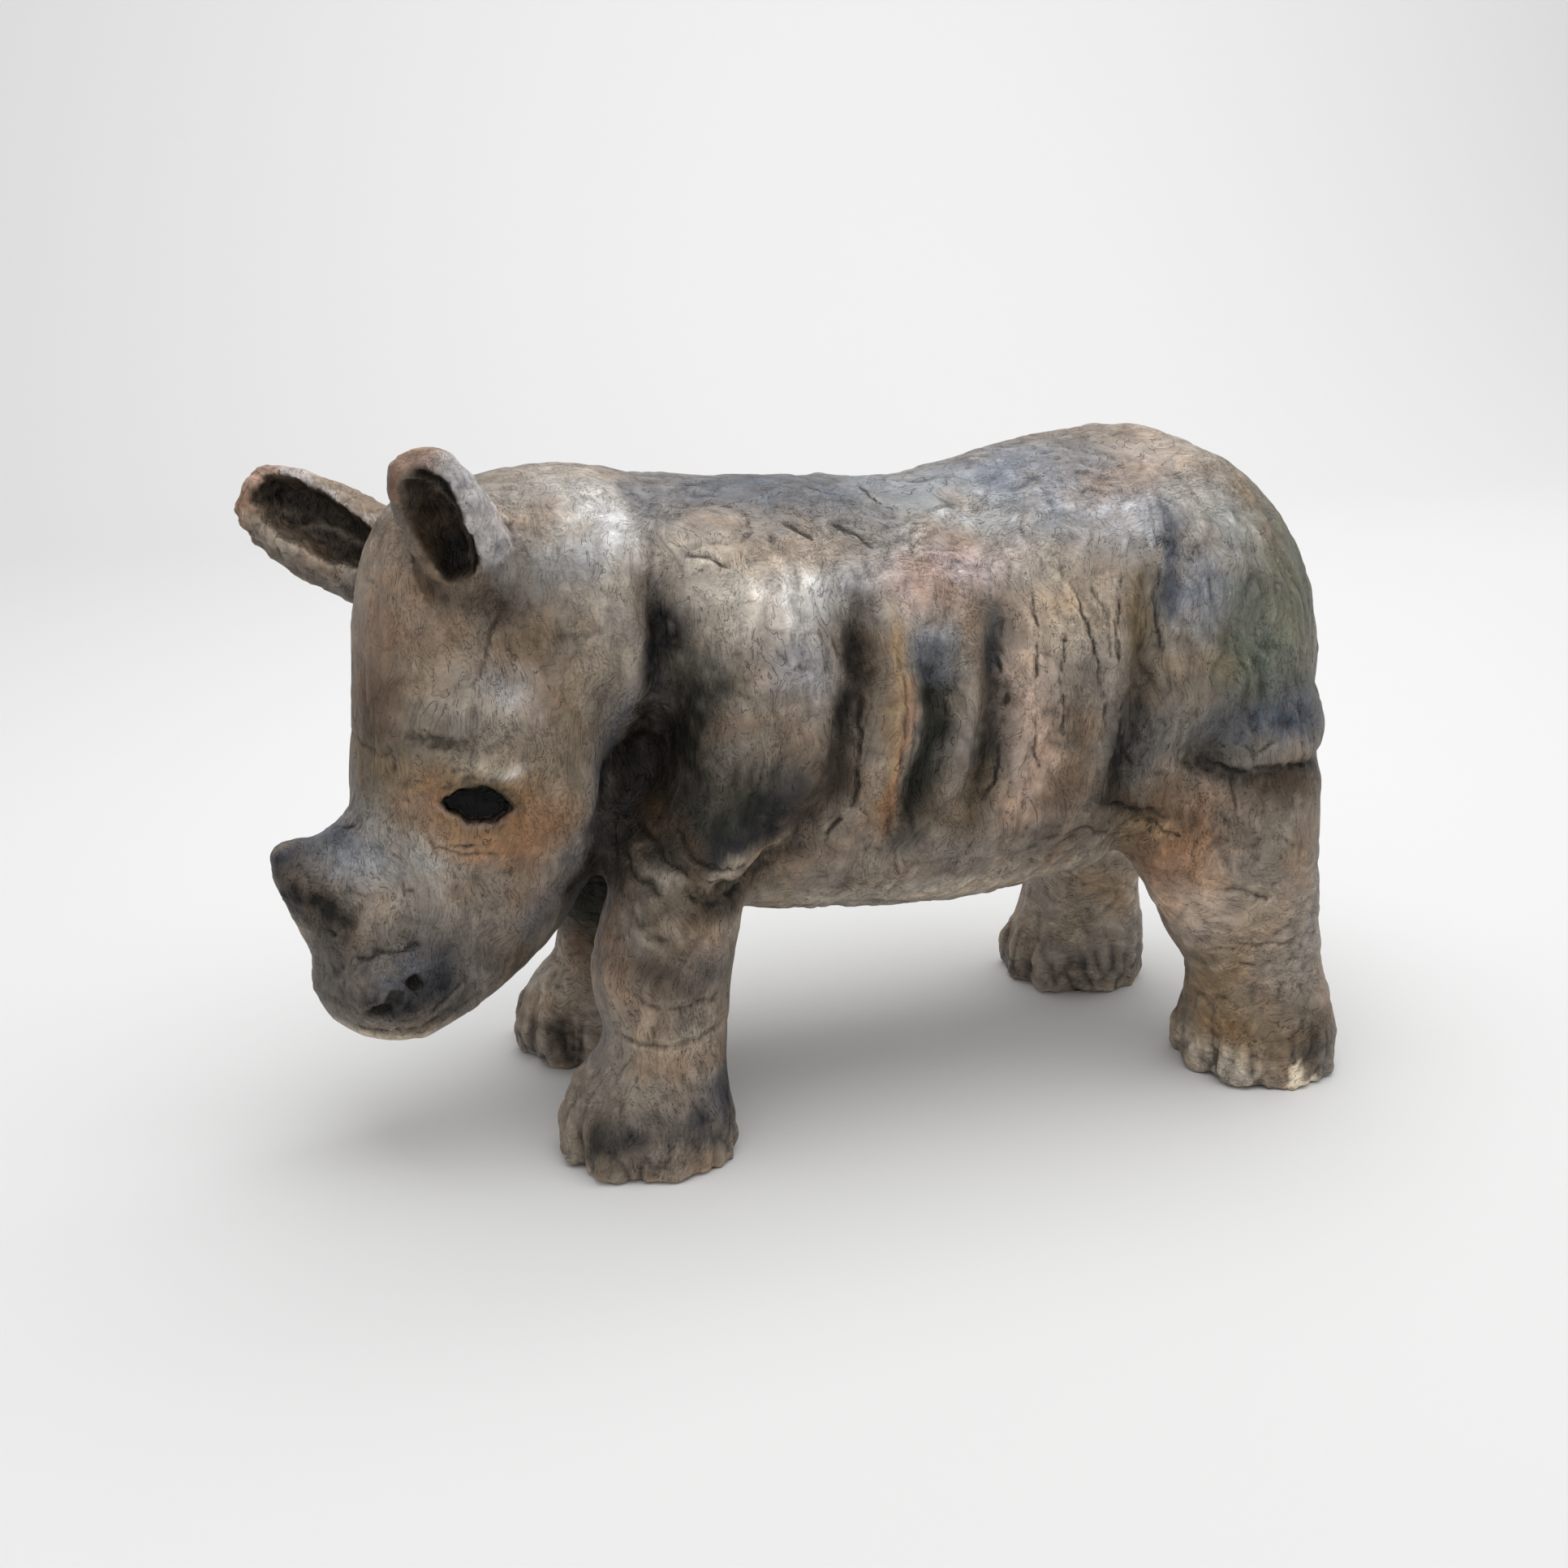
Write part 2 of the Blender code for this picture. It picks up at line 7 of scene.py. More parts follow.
import bmesh
import bpy
import numpy as np
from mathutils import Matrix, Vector

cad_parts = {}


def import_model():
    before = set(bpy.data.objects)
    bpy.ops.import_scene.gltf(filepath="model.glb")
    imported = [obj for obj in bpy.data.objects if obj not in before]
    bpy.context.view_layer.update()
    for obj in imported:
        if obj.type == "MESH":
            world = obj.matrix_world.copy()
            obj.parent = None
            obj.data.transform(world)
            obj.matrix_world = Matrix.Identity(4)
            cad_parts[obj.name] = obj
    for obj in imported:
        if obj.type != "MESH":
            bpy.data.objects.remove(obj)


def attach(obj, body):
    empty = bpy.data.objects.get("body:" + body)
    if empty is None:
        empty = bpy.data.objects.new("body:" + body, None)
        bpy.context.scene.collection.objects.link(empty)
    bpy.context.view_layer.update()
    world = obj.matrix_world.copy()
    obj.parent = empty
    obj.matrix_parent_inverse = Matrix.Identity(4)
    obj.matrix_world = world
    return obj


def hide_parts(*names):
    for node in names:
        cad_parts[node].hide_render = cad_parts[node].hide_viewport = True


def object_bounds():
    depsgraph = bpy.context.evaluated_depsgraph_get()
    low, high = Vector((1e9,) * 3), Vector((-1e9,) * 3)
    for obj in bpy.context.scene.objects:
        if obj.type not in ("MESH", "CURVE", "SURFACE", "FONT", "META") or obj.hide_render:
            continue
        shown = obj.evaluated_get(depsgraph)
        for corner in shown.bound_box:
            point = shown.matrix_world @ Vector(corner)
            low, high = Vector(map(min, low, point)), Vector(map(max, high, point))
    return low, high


NODE = "rhinoceros_figurine"
SLOT = "painted_papier_mache"
MM = 0.001

NEAR, FAR = -1, 1

# The skin: the cells that it's remade in, the passes that take the solid's facets off, its final
# triangles, how near two of the solid's corners are when they're one, and how near the floor it's level.
SKIN_CELL = 1.6
SKIN_PASSES = 7
SKIN_TRIANGLES = 194000
MERGED_WITHIN = 0.01
LEVEL_BELOW = 0.9

# The head is turned about this upright line, towards the left flank.
HEAD_TURN_DEG = 10.0
HEAD_PIVOT = (-149.5, 4.1)

# The edge of the jaw and the cheek in the side view: the head lies ahead of it.
JAW_LINE = (
    (-215, 0),
    (-205, 62),
    (-188, 81),
    (-175, 96),
    (-169, 118),
    (-166, 136),
    (-160, 150),
    (-153, 162),
    (-141, 184),
    (-133, 208),
    (-127, 240),
    (-126, 266),
    (-123, 296),
    (-130, 360),
)
HEAD_EDGE = 3

# A side starts softly at the middle of the body, and ends where the skin turns away from it.
SIDE_STARTS = (-7, 2)
SIDE_FACES = (-0.45, 0.1)

# The legs lie below this height, and the hind ones behind this place.
LEG_TOP = 150
HIND_FROM = 100

# The far side repeats the near side's paint and furrows, plainer by this much.
FAR_SHARE = 0.75


def screen(red, green, blue):
    """Linear colour from the 0-255 values that a paint card gives."""
    share = np.array((red, green, blue)) / 255
    return np.where(share < 0.04045, share / 12.92, ((share + 0.055) / 1.055) ** 2.4)


TAUPE = screen(132, 121, 109)
WARM_GREY = screen(146, 133, 119)
PALE_BEIGE = screen(190, 176, 157)
CHALK = screen(214, 211, 207)
PALE_BLUE = screen(196, 200, 209)
GREY_BLUE = screen(132, 137, 147)
STONE = screen(170, 170, 168)
SLATE = screen(70, 75, 84)
BLUE_BLACK = screen(17, 21, 31)
GREEN_BLACK = screen(26, 28, 18)
BLACK_BROWN = screen(20, 16, 11)
UMBER = screen(58, 46, 34)
OLIVE = screen(98, 84, 58)
OCHRE = screen(150, 120, 78)
ORANGE_EARTH = screen(152, 108, 74)
PALE_ORANGE = screen(216, 192, 172)
RUSSET = screen(122, 78, 50)
PINK_BEIGE = screen(186, 160, 143)
LILAC = screen(200, 184, 190)
GREY_GREEN = screen(94, 98, 84)
CHIP_WHITE = screen(238, 230, 208)
EYE_BLACK = screen(4, 4, 4)

# Tints that drift over the paint, as shares of red, green and blue.
WARM_TINT = (1.0, 0.80, 0.62)
COOL_TINT = (0.80, 0.88, 1.0)

# Broad washes on the flanks, painted shade and painted highlights among them, laid in this order: paint,
# x and z, reach along X and Z, tilt in degrees and strength.
FLANK_WASHES = (
    # pale paint with a painted highlight on the top of the neck
    ("back of the neck", CHALK, (-146, 314), (30, 18), 0, 0.45),
    ("top of the back", SLATE, (-20, 327), (120, 18), 0, 1.0),
    ("withers", GREY_BLUE, (-60, 326), (80, 16), 0, 0.2),
    ("above the shoulder", PALE_BEIGE, (-88, 288), (36, 20), 0, 0.8),
    ("pale behind the neck", PALE_BEIGE, (-100, 262), (12, 34), 0, 0.4),
    # pale paint with a painted highlight on the upper ribs
    ("upper ribs", CHALK, (-46, 284), (38, 14), 0, 0.8),
    ("upper flank", LILAC, (27, 288), (34, 12), 0, 0.6),
    ("loin", STONE, (50, 316), (46, 18), 0, 0.8),
    ("hip", GREY_BLUE, (98, 326), (48, 20), 0, 0.7),
    ("hip, pale", PALE_BLUE, (128, 308), (26, 14), 0, 0.6),
    ("rump edge", PALE_ORANGE, (172, 338), (44, 12), 12, 0.3),
    ("rump", STONE, (186, 306), (34, 18), -25, 0.7),
    ("rump back", GREY_GREEN, (236, 262), (34, 62), 20, 0.85),
    ("grey-green haunch", GREY_GREEN, (190, 244), (42, 40), 0, 0.95),
    ("blue of the haunch", GREY_BLUE, (160, 270), (16, 26), -10, 0.6),
    ("haunch middle", TAUPE, (142, 220), (12, 30), 0, 0.5),
    ("ochre of the haunch", OLIVE, (128, 262), (10, 38), 0, 0.85),
    ("behind the last rib", PALE_BEIGE, (76, 268), (26, 26), 0, 0.5),
    ("pink of the flank", PINK_BEIGE, (62, 205), (13, 46), 0, 0.85),
    ("shade of the flank", UMBER, (86, 206), (12, 40), 0, 0.6),
    # painted shade in the crease in front of the haunch
    ("haunch front", BLACK_BROWN, (121, 196), (15, 36), -12, 1.0),
    ("haunch front, low", UMBER, (126, 168), (20, 14), 0, 0.8),
    ("shelf", SLATE, (206, 204), (56, 15), 0, 0.95),
    ("shelf's green end", GREEN_BLACK, (166, 192), (18, 9), 0, 0.7),
    ("under the shelf", UMBER, (204, 168), (58, 13), 0, 0.75),
    ("shoulder", GREEN_BLACK, (-80, 182), (32, 26), 25, 1.0),
    ("shoulder front", GREEN_BLACK, (-104, 172), (18, 20), 0, 0.95),
    ("shoulder rear", BLUE_BLACK, (-62, 186), (15, 20), 0, 0.75),
    ("shoulder, low", BLUE_BLACK, (-84, 164), (26, 9), 0, 0.8),
    ("top of the shoulder", GREY_BLUE, (-58, 252), (18, 16), 0, 0.4),
    ("neck, blue", BLUE_BLACK, (-116, 262), (13, 36), 0, 1.0),
    ("neck, green", GREEN_BLACK, (-104, 224), (11, 44), -12, 1.0),
    # This row and the next two are painted shade: near-black in the hollow behind and under the jaw.
    ("neck, black", BLACK_BROWN, (-122, 204), (20, 46), -20, 1.0),
    ("throat", BLACK_BROWN, (-134, 168), (16, 22), -20, 0.9),
    ("under the jaw", BLACK_BROWN, (-155, 144), (14, 26), -20, 0.95),
    ("belly side", WARM_GREY, (30, 146), (100, 10), 0, 0.5),
    ("belly edge", PALE_BEIGE, (20, 122), (110, 12), 0, 0.9),
    ("groin", OCHRE, (138, 146), (20, 16), 0, 0.5),
    ("hock", ORANGE_EARTH, (156, 130), (14, 34), -14, 0.8),
    ("hind shin, light", PALE_ORANGE, (164, 100), (14, 26), -10, 0.6),
    ("hock, dark", UMBER, (182, 140), (26, 14), 0, 0.5),
    ("hind shin", WARM_GREY, (200, 100), (36, 30), 0, 0.6),
    ("hind shin, ochre", OCHRE, (188, 62), (12, 34), 0, 0.5),
    ("hind foot", OCHRE, (196, 32), (30, 20), 0, 0.4),
    ("hind foot, dark", UMBER, (196, 26), (24, 7), 0, 0.2),
    ("hind heel", GREEN_BLACK, (230, 26), (22, 22), 0, 0.75),
    ("hind toe", PALE_BEIGE, (190, 14), (16, 11), 0, 0.9),
    # painted shade on the upper middle of the left foreleg
    ("foreleg's middle", UMBER, (-120, 108), (36, 36), 0, 0.6),
    ("knee, pink", PINK_BEIGE, (-106, 120), (12, 12), 0, 0.25),
    # painted shade under the elbow's fold
    ("under the elbow", GREEN_BLACK, (-98, 138), (26, 9), 0, 0.85),
    ("fore shin", UMBER, (-132, 104), (20, 12), 0, 0.6),
    ("fore shin, ochre", ORANGE_EARTH, (-147, 112), (7, 24), 0, 0.3),
    ("wrist", PALE_BEIGE, (-124, 66), (28, 14), 0, 0.25),
    ("heel of the fore foot", BLUE_BLACK, (-90, 34), (11, 30), 0, 0.95),
    ("outer toe, blue", BLUE_BLACK, (-112, 26), (16, 13), 0, 0.8),
    ("outer toe, slate", SLATE, (-104, 40), (16, 12), 0, 0.6),
    ("toe hollow, violet", BLUE_BLACK, (-150, 26), (15, 9), -10, 0.85),
    ("toe hollow, inner", GREEN_BLACK, (-164, 22), (7, 12), 0, 0.8),
)

# Patches on the chest and the inner faces of the right legs, placed in space, some of them painted shade:
# paint, centre, reach along X, Y and Z, and strength.
INNER_WASHES = (
    ("right foreleg, pale", PALE_BEIGE, (-138, 50, 46), (34, 34, 20), 0.75),
    ("right foreleg, ochre", ORANGE_EARTH, (-136, 46, 68), (26, 30, 14), 0.5),
    # painted shade on the top of the right foreleg, behind the left one
    ("right foreleg's top", GREEN_BLACK, (-134, 48, 104), (44, 44, 44), 1.0),
    ("right fore toe gap", BLACK_BROWN, (-146, 44, 20), (7, 18, 18), 0.95),
    ("right fore heel", GREEN_BLACK, (-104, 30, 20), (10, 20, 18), 0.8),
    ("right hind leg", PALE_BEIGE, (190, 50, 80), (60, 34, 56), 0.75),
    ("right hind leg, olive", OLIVE, (160, 40, 120), (40, 30, 16), 0.45),
    ("right hind foot", UMBER, (180, 40, 22), (34, 20, 14), 0.2),
    # This row and the next are painted shade: near-black between the head and the forelegs.
    ("chest", BLACK_BROWN, (-124, 0, 150), (34, 40, 34), 0.95),
    ("throat", BLACK_BROWN, (-150, -42, 152), (18, 26, 30), 0.95),
)

# Long strokes on the flanks: paint, x and z along each, half width, strength.
FLANK_STROKES = (
    # The rib hollows' strokes are partly their dark paint and partly painted shade in the hollows.
    ("first rib hollow, soft", UMBER, ((-22, 276), (-24, 229), (-40, 182)), 15, 0.7),
    ("first rib hollow", BLACK_BROWN, ((-28, 266), (-31, 229), (-40, 190)), 9, 0.85),
    ("first rib's low end", UMBER, ((-40, 196), (-64, 160)), 10, 0.5),
    ("ochre rib", OCHRE, ((0, 268), (-7, 226), (-12, 174)), 5, 0.5),
    ("orange rib", ORANGE_EARTH, ((2, 240), (-6, 206), (-11, 166)), 4, 0.5),
    # partly dark paint, partly painted shade in the second rib's hollow
    ("second rib hollow, soft", GREEN_BLACK, ((16, 252), (13, 206), (1, 160)), 12, 0.6),
    ("second rib hollow", GREEN_BLACK, ((15, 240), (12, 206), (2, 170)), 8, 1.0),
    ("smudge over the second rib", GREY_BLUE, ((16, 262), (15, 248)), 8, 0.5),
    # partly dark paint, partly painted shade in the third rib's hollow
    ("third rib hollow, soft", UMBER, ((48, 268), (43, 219), (34, 168)), 13, 0.65),
    ("third rib hollow", BLACK_BROWN, ((49, 252), (45, 219), (38, 180)), 6, 0.6),
    ("smudge on the third rib", SLATE, ((50, 262), (49, 246)), 7, 0.6),
    ("third rib's low end", OLIVE, ((37, 190), (30, 172)), 8, 0.6),
    ("streak on the rump", SLATE, ((152, 308), (147, 262)), 5, 0.9),
    ("fold under the shelf", BLACK_BROWN, ((160, 186), (178, 180), (198, 179), (240, 178)), 5, 0.7),
    ("hind leg's dark strokes", BLACK_BROWN, ((112, 168), (135, 160), (158, 152)), 5, 0.6),
    ("elbow, pale", PALE_BEIGE, ((-132, 158), (-120, 150), (-106, 151), (-84, 155), (-62, 168)), 4, 0.45),
    ("top of the foreleg", BLACK_BROWN, ((-136, 180), (-130, 160)), 9, 0.45),
    ("foreleg's streak", UMBER, ((-118, 176), (-112, 150)), 6, 0.7),
    ("belly's shade", UMBER, ((60, 152), (90, 150), (120, 152)), 6, 0.4),
)

# The same on the head, before it's turned.
HEAD_WASHES = (
    # pale paint with a painted highlight on the nape
    ("nape", CHALK, (-150, 316), (28, 18), 0, 0.75),
    ("nape, grey", STONE, (-178, 304), (22, 20), 0, 0.6),
    ("forehead", WARM_GREY, (-240, 280), (30, 34), 0, 0.4),
    ("crown", UMBER, (-236, 316), (26, 14), 0, 0.5),
    ("temple", OLIVE, (-196, 262), (26, 20), 0, 0.4),
    ("pale temple", PALE_BLUE, (-196, 246), (18, 12), 0, 0.5),
    ("behind the eye", OLIVE, (-172, 232), (20, 34), 0, 0.5),
    ("pale cheek", PALE_BEIGE, (-160, 262), (14, 22), 0, 0.5),
    ("brow", PALE_BEIGE, (-224, 238), (24, 12), 0, 0.45),
    ("bridge of the nose", GREY_GREEN, (-246, 236), (12, 30), 0, 0.4),
    ("brown of the brow", RUSSET, (-256, 232), (13, 16), 0, 0.5),
    ("far edge of the face", UMBER, (-258, 222), (12, 40), 0, 0.95),
    ("root of the ear", UMBER, (-205, 290), (18, 14), 0, 0.95),
    ("brown of the forehead", RUSSET, (-250, 268), (14, 20), 0, 0.3),
    ("side of the nose", OLIVE, (-250, 200), (16, 22), 0, 0.5),
    ("cheek", STONE, (-242, 162), (28, 20), 0, 0.85),
    ("ring of the eye, wide", OLIVE, (-214, 188), (38, 32), 0, 0.5),
    ("ring of the eye", OCHRE, (-214, 189), (29, 22), 0, 0.55),
    ("ring of the eye, rear", ORANGE_EARTH, (-196, 178), (17, 18), 20, 0.6),
    ("ring of the eye, ahead", ORANGE_EARTH, (-240, 190), (8, 14), 0, 0.5),
    ("under the eye", ORANGE_EARTH, (-212, 168), (20, 7), 0, 0.35),
    ("base of the horn", GREY_BLUE, (-268, 158), (14, 12), 0, 0.5),
    ("muzzle", TAUPE, (-236, 130), (34, 18), 0, 0.6),
    ("muzzle, brown", UMBER, (-240, 118), (30, 8), 0, 0.3),
    ("jaw", SLATE, (-184, 136), (13, 38), -32, 0.65),
    ("jaw, high", SLATE, (-150, 200), (12, 42), -18, 0.75),
    ("jaw, low", GREEN_BLACK, (-206, 104), (20, 12), -30, 0.5),
    ("nostril mound", SLATE, (-257, 107), (25, 15), 0, 0.85),
    ("nostril mound, dark", BLACK_BROWN, (-260, 95), (21, 9), 8, 0.85),
    ("nostril mound, rear", BLUE_BLACK, (-241, 102), (11, 13), 0, 0.85),
    ("front of the muzzle", UMBER, (-285, 116), (11, 20), 0, 0.5),
    ("front of the lip", UMBER, (-282, 94), (9, 10), 0, 0.6),
    ("lip", PALE_BEIGE, (-250, 70), (44, 8), 0, 0.7),
    ("mouth, dark", GREEN_BLACK, (-234, 86), (20, 6), 20, 0.5),
    # painted shade in the dent above the eye
    ("brow dent", UMBER, (-233, 219), (15, 6), -8, 0.5),
    # This row and the next are a painted highlight on the upper lid and above it.
    ("upper lid", CHALK, (-206, 204), (9, 4), 20, 0.45),
    ("over the lid", PALE_BEIGE, (-216, 208), (14, 5), 0, 0.5),
)

HEAD_STROKES = (
    ("top of the horn", SLATE, ((-303, 161), (-290, 167), (-276, 170)), 10, 1.0),
    ("tip of the horn", BLUE_BLACK, ((-303, 161), (-296, 162)), 6, 0.7),
    ("under the horn", BLACK_BROWN, ((-301, 149), (-292, 146), (-284, 145), (-275, 138)), 11, 1.0),
    ("horn's low edge", BLACK_BROWN, ((-294, 140), (-284, 124)), 5, 0.6),
    ("mouth", BLACK_BROWN, ((-282, 80), (-262, 76), (-246, 78), (-232, 86), (-224, 98)), 3, 0.45),
)

# Furrows on the flanks: x and z along each, half width, depth, and how dark it's left. Each tapers over
# this share of its length.
FURROW_TAPER = 0.15
FURROWS = (
    ("crack over the shoulder", ((-103, 302), (-92, 300), (-83, 294)), 1.1, 1.2, 1.0),
    ("crack on the withers", ((-50, 312), (-44, 309), (-37, 307)), 1.0, 0.9, 0.9),
    ("crack behind the withers", ((-28, 311), (-16, 308), (-6, 298)), 1.0, 1.0, 0.9),
    ("crack on the spine", ((3, 326), (6, 323), (10, 318)), 1.0, 1.0, 1.0),
    ("curl behind the ear", ((-71, 322), (-65, 315), (-66, 308), (-75, 304)), 1.0, 0.9, 0.7),
    ("first rib, upper", ((-27, 266), (-26, 250), (-28, 238)), 1.2, 1.5, 1.0),
    ("first rib, middle", ((-26, 236), (-25, 221), (-27, 200)), 1.4, 1.8, 1.0),
    ("first rib, lower", ((-27, 204), (-31, 182), (-46, 160)), 1.2, 1.4, 0.9),
    ("ochre rib", ((-3, 262), (-6, 226), (-10, 180)), 1.0, 0.9, 0.6),
    ("ochre rib, rear", ((3, 250), (0, 216), (-6, 176)), 1.0, 0.7, 0.5),
    ("second rib", ((20, 232), (17, 206), (10, 184)), 1.2, 1.0, 0.6),
    ("third rib, upper", ((49, 252), (50, 232), (48, 212)), 1.2, 1.2, 1.0),
    ("third rib, lower", ((48, 208), (45, 190), (36, 172)), 1.2, 1.2, 0.9),
    ("flank, first", ((70, 281), (68, 256), (64, 232)), 1.1, 1.0, 0.9),
    ("flank, second", ((64, 222), (65, 200), (70, 182)), 1.1, 0.9, 0.7),
    ("flank, third", ((84, 262), (80, 236), (82, 204)), 1.1, 1.0, 0.7),
    ("flank, fourth", ((88, 284), (98, 258), (102, 228), (108, 200)), 1.3, 1.4, 0.8),
    ("flank, fifth", ((96, 290), (107, 264), (108, 236)), 1.1, 1.0, 0.6),
    ("haunch front, upper", ((118, 287), (112, 264), (112, 236)), 1.1, 1.1, 0.9),
    ("haunch front, lower", ((116, 222), (118, 200), (126, 182)), 1.2, 1.2, 0.8),
    ("haunch, upright", ((142, 290), (138, 260), (137, 236)), 1.2, 1.0, 0.7),
    ("shelf fold", ((160, 186), (178, 181), (198, 180), (238, 178)), 1.8, 1.8, 0.8),
    ("shelf's wrinkle", ((170, 196), (192, 190), (206, 194)), 1.2, 1.0, 0.7),
    ("hock stroke, upper", ((112, 166), (135, 160), (156, 154)), 1.5, 1.3, 0.8),
    ("hock stroke, lower", ((130, 155), (146, 150), (158, 142)), 1.2, 0.9, 0.7),
    ("belly stroke", ((76, 150), (104, 152), (128, 144)), 1.2, 1.0, 0.5),
    ("shin crease, upper", ((172, 120), (190, 116), (206, 108)), 1.5, 1.2, 0.6),
    ("shin crease, middle", ((182, 86), (200, 84), (224, 88)), 1.5, 1.1, 0.5),
    ("shin crease, lower", ((184, 74), (202, 72), (226, 76)), 1.5, 1.1, 0.5),
    ("elbow, lower", ((-122, 143), (-100, 138), (-78, 146)), 2.0, 2.0, 0.8),
    ("elbow, streak", ((-130, 178), (-123, 160), (-106, 149), (-88, 147)), 1.8, 2.0, 0.6),
    ("elbow, second streak", ((-119, 178), (-113, 164), (-98, 155), (-78, 156)), 1.8, 1.8, 0.6),
    ("elbow, third streak", ((-140, 170), (-136, 152), (-124, 140)), 1.8, 1.8, 0.6),
    ("elbow, fourth streak", ((-143, 148), (-136, 128), (-122, 118)), 1.8, 1.4, 0.4),
    ("wrist, upper", ((-148, 98), (-136, 90), (-116, 86), (-92, 90)), 1.8, 1.0, 0.1),
    ("wrist, lower", ((-148, 74), (-136, 68), (-116, 68), (-92, 74)), 1.8, 1.2, 0.15),
)

HEAD_FURROWS = (
    ("under the lid", ((-232, 172), (-222, 170), (-210, 171)), 1.0, 1.0, 0.8),
    ("under the lid, long", ((-242, 178), (-236, 170), (-222, 165), (-206, 165)), 1.2, 0.9, 0.3),
    ("ahead of the eye", ((-243, 204), (-247, 192), (-243, 180)), 1.2, 0.9, 0.4),
    ("over the lid", ((-240, 200), (-232, 206), (-220, 209)), 1.1, 0.9, 0.5),
    ("cheek crack", ((-251, 151), (-249, 147), (-244, 146)), 0.8, 0.7, 0.9),
    ("cheek crack's branch", ((-249, 147), (-250, 139)), 0.7, 0.7, 0.9),
    ("horn crack", ((-277, 166), (-270, 171), (-261, 174)), 1.0, 0.9, 0.9),
    ("temple crack", ((-203, 280), (-211, 264), (-217, 245)), 1.2, 1.0, 0.4),
    ("nose crack", ((-250, 218), (-248, 204)), 1.0, 0.9, 0.6),
    ("nose wrinkle", ((-262, 214), (-252, 212), (-246, 214)), 1.0, 0.8, 0.5),
    ("over the nostrils", ((-274, 112), (-261, 118), (-242, 120)), 1.3, 1.3, 0.5),
    ("horn's root", ((-292, 146), (-284, 134), (-278, 122)), 1.6, 1.3, 0.6),
    ("face wrinkle", ((-284, 130), (-278, 122), (-270, 120)), 1.2, 1.0, 0.6),
    ("mouth", ((-278, 80), (-262, 76), (-246, 78), (-234, 86)), 1.4, 1.3, 0.6),
    ("lip, upper", ((-246, 84), (-234, 92), (-224, 102)), 1.0, 1.0, 0.6),
    ("lip, lower", ((-240, 76), (-226, 84), (-216, 94)), 1.0, 0.8, 0.5),
)

# Pits on the head: x and z, reach along X and Z, tilt in degrees, depth, and how dark.
HEAD_PITS = (
    ("front nostril", (-266, 92), (6.0, 3.6), 38, 4.0, 1.0),
    ("middle nostril", (-260, 99), (3.4, 4.4), -30, 3.0, 1.0),
    ("rear nostril", (-250, 103), (4.4, 4.2), -30, 4.0, 1.0),
    # the brow dent's darkness is painted shade
    ("brow dent", (-234, 221), (9.0, 3.4), -6, 2.4, 0.25),
)

# The broken mound round the nostrils: x and z, reach along X and Z, and tilt.
MOUND = ((-258, 96), (22, 14), 10)

# The horn lies ahead of this place, and its foot between these heights.
HORN_FROM = -262
HORN_FOOT = (118, 130)

# The eye, before the head is turned: x and z, reach along X and Z, tilt in degrees.
EYE = (-218.5, 190.5)
EYE_REACH = (14.5, 8.4)
EYE_TILT = -6.0

# Ears: base, tip, the way that the scoop opens, and how far off the middle its deepest line lies.
EARS = (
    ((-201.8, -54.0, 298.9), (-228.8, -68.1, 353.0), (-0.66, -0.75, 0.0), 3),
    ((-225.8, 46.3, 285.8), (-292.0, 74.4, 324.9), (-0.20, -0.95, -0.3), 8),
)
EAR_HALF_WIDTH = 26.0

# Where an ear begins and ends, as shares of its length, and how far out its scoop's deepest line lies.
EAR_ROOT = (-0.25, 0.15)
EAR_END = 1.3
SCOOP_LINE = 12

# The pressed paper: the cells of its waves, where they run upright and where they run level, of its
# crumple and of its lumps, the height of each, and the dark lines' width in the noise and their depth.
UPRIGHT_CELL = (8, 15, 34)
LEVEL_CELL = (30, 22, 7.5)
CRUMPLE_CELL = (15, 15, 22)
LUMP_CELL = 36
WAVE_HEIGHT = 0.7
CRUMPLE_HEIGHT = 1.3
LUMP_HEIGHT = 0.9
LINE_WIDTH = 0.08
LINE_DEPTH = 0.6

# The paper is calmer on the head and in the eyes by these shares.
HEAD_CALM = 0.4
EYE_CALM = 0.6

# How high the feet's folds reach, and the heights of the folds and of their ragged lower edge.
FOOT_TOP = 44
FOOT_FOLD = 2.8
FOOT_RAGGED = 1.2

# Heights of the crumbs, the mound, the ridge in each scoop, and the parts of the eye. The ridge leans.
HORN_CRUMBS = 0.7
EAR_CRUMBS = 0.8
EYE_CRUMBS = 0.9
MOUND_HEIGHT = 2.2
MOUND_CRUMBS = 2.6
RIDGE_HEIGHT = 1.2
RIDGE_LEAN = 7
UPPER_LID = 1.8
LOWER_LID = 1.2
SOCKET_DEPTH = 3.4
EYEBALL = 2.4

# Where paint has chipped off the rim of the left hind foot's sole, down to white: centre and reach.
CHIPS = (
    ((221, -122, 7), (5.0, 9, 9)),
    ((228, -120, 3), (9, 9, 3.0)),
)

# The paint's patterns: how tightly the fibres are drawn along each axis where they run upright and where
# they run level, how far they sway in metres, and what a noise mostly fills.
FIBRE_OUTPUTS = ("Lines", "Waves", "Grain")
FIBRES_UPRIGHT = (125, 95, 38)
FIBRES_LEVEL = (55, 65, 135)
SWAY = 0.03
NOISE_SPAN = (0.3, 0.7)

# How far each pattern darkens and lightens the paint, and how high it stands, in millimetres.
SHADES = {"Mottle": (0.8, 1.22), "Grain": (0.95, 1.05), "Waves": (0.92, 1.08), "Speck": (0.88, 1.12)}
BUMPS = {"Waves": 3.0, "Grain": 0.6, "Lines": -0.7, "Speck": 0.2, "Mottle": 3.0}

# The sheet that it stands on and in front of.
SHEET_REACH = 4.0
SHEET_HALF_WIDTH = 6.0
SHEET_FLAT_TO = 2.2
SHEET_BEND = 1.5
SHEET_COLOUR = (0.72, 0.72, 0.72)

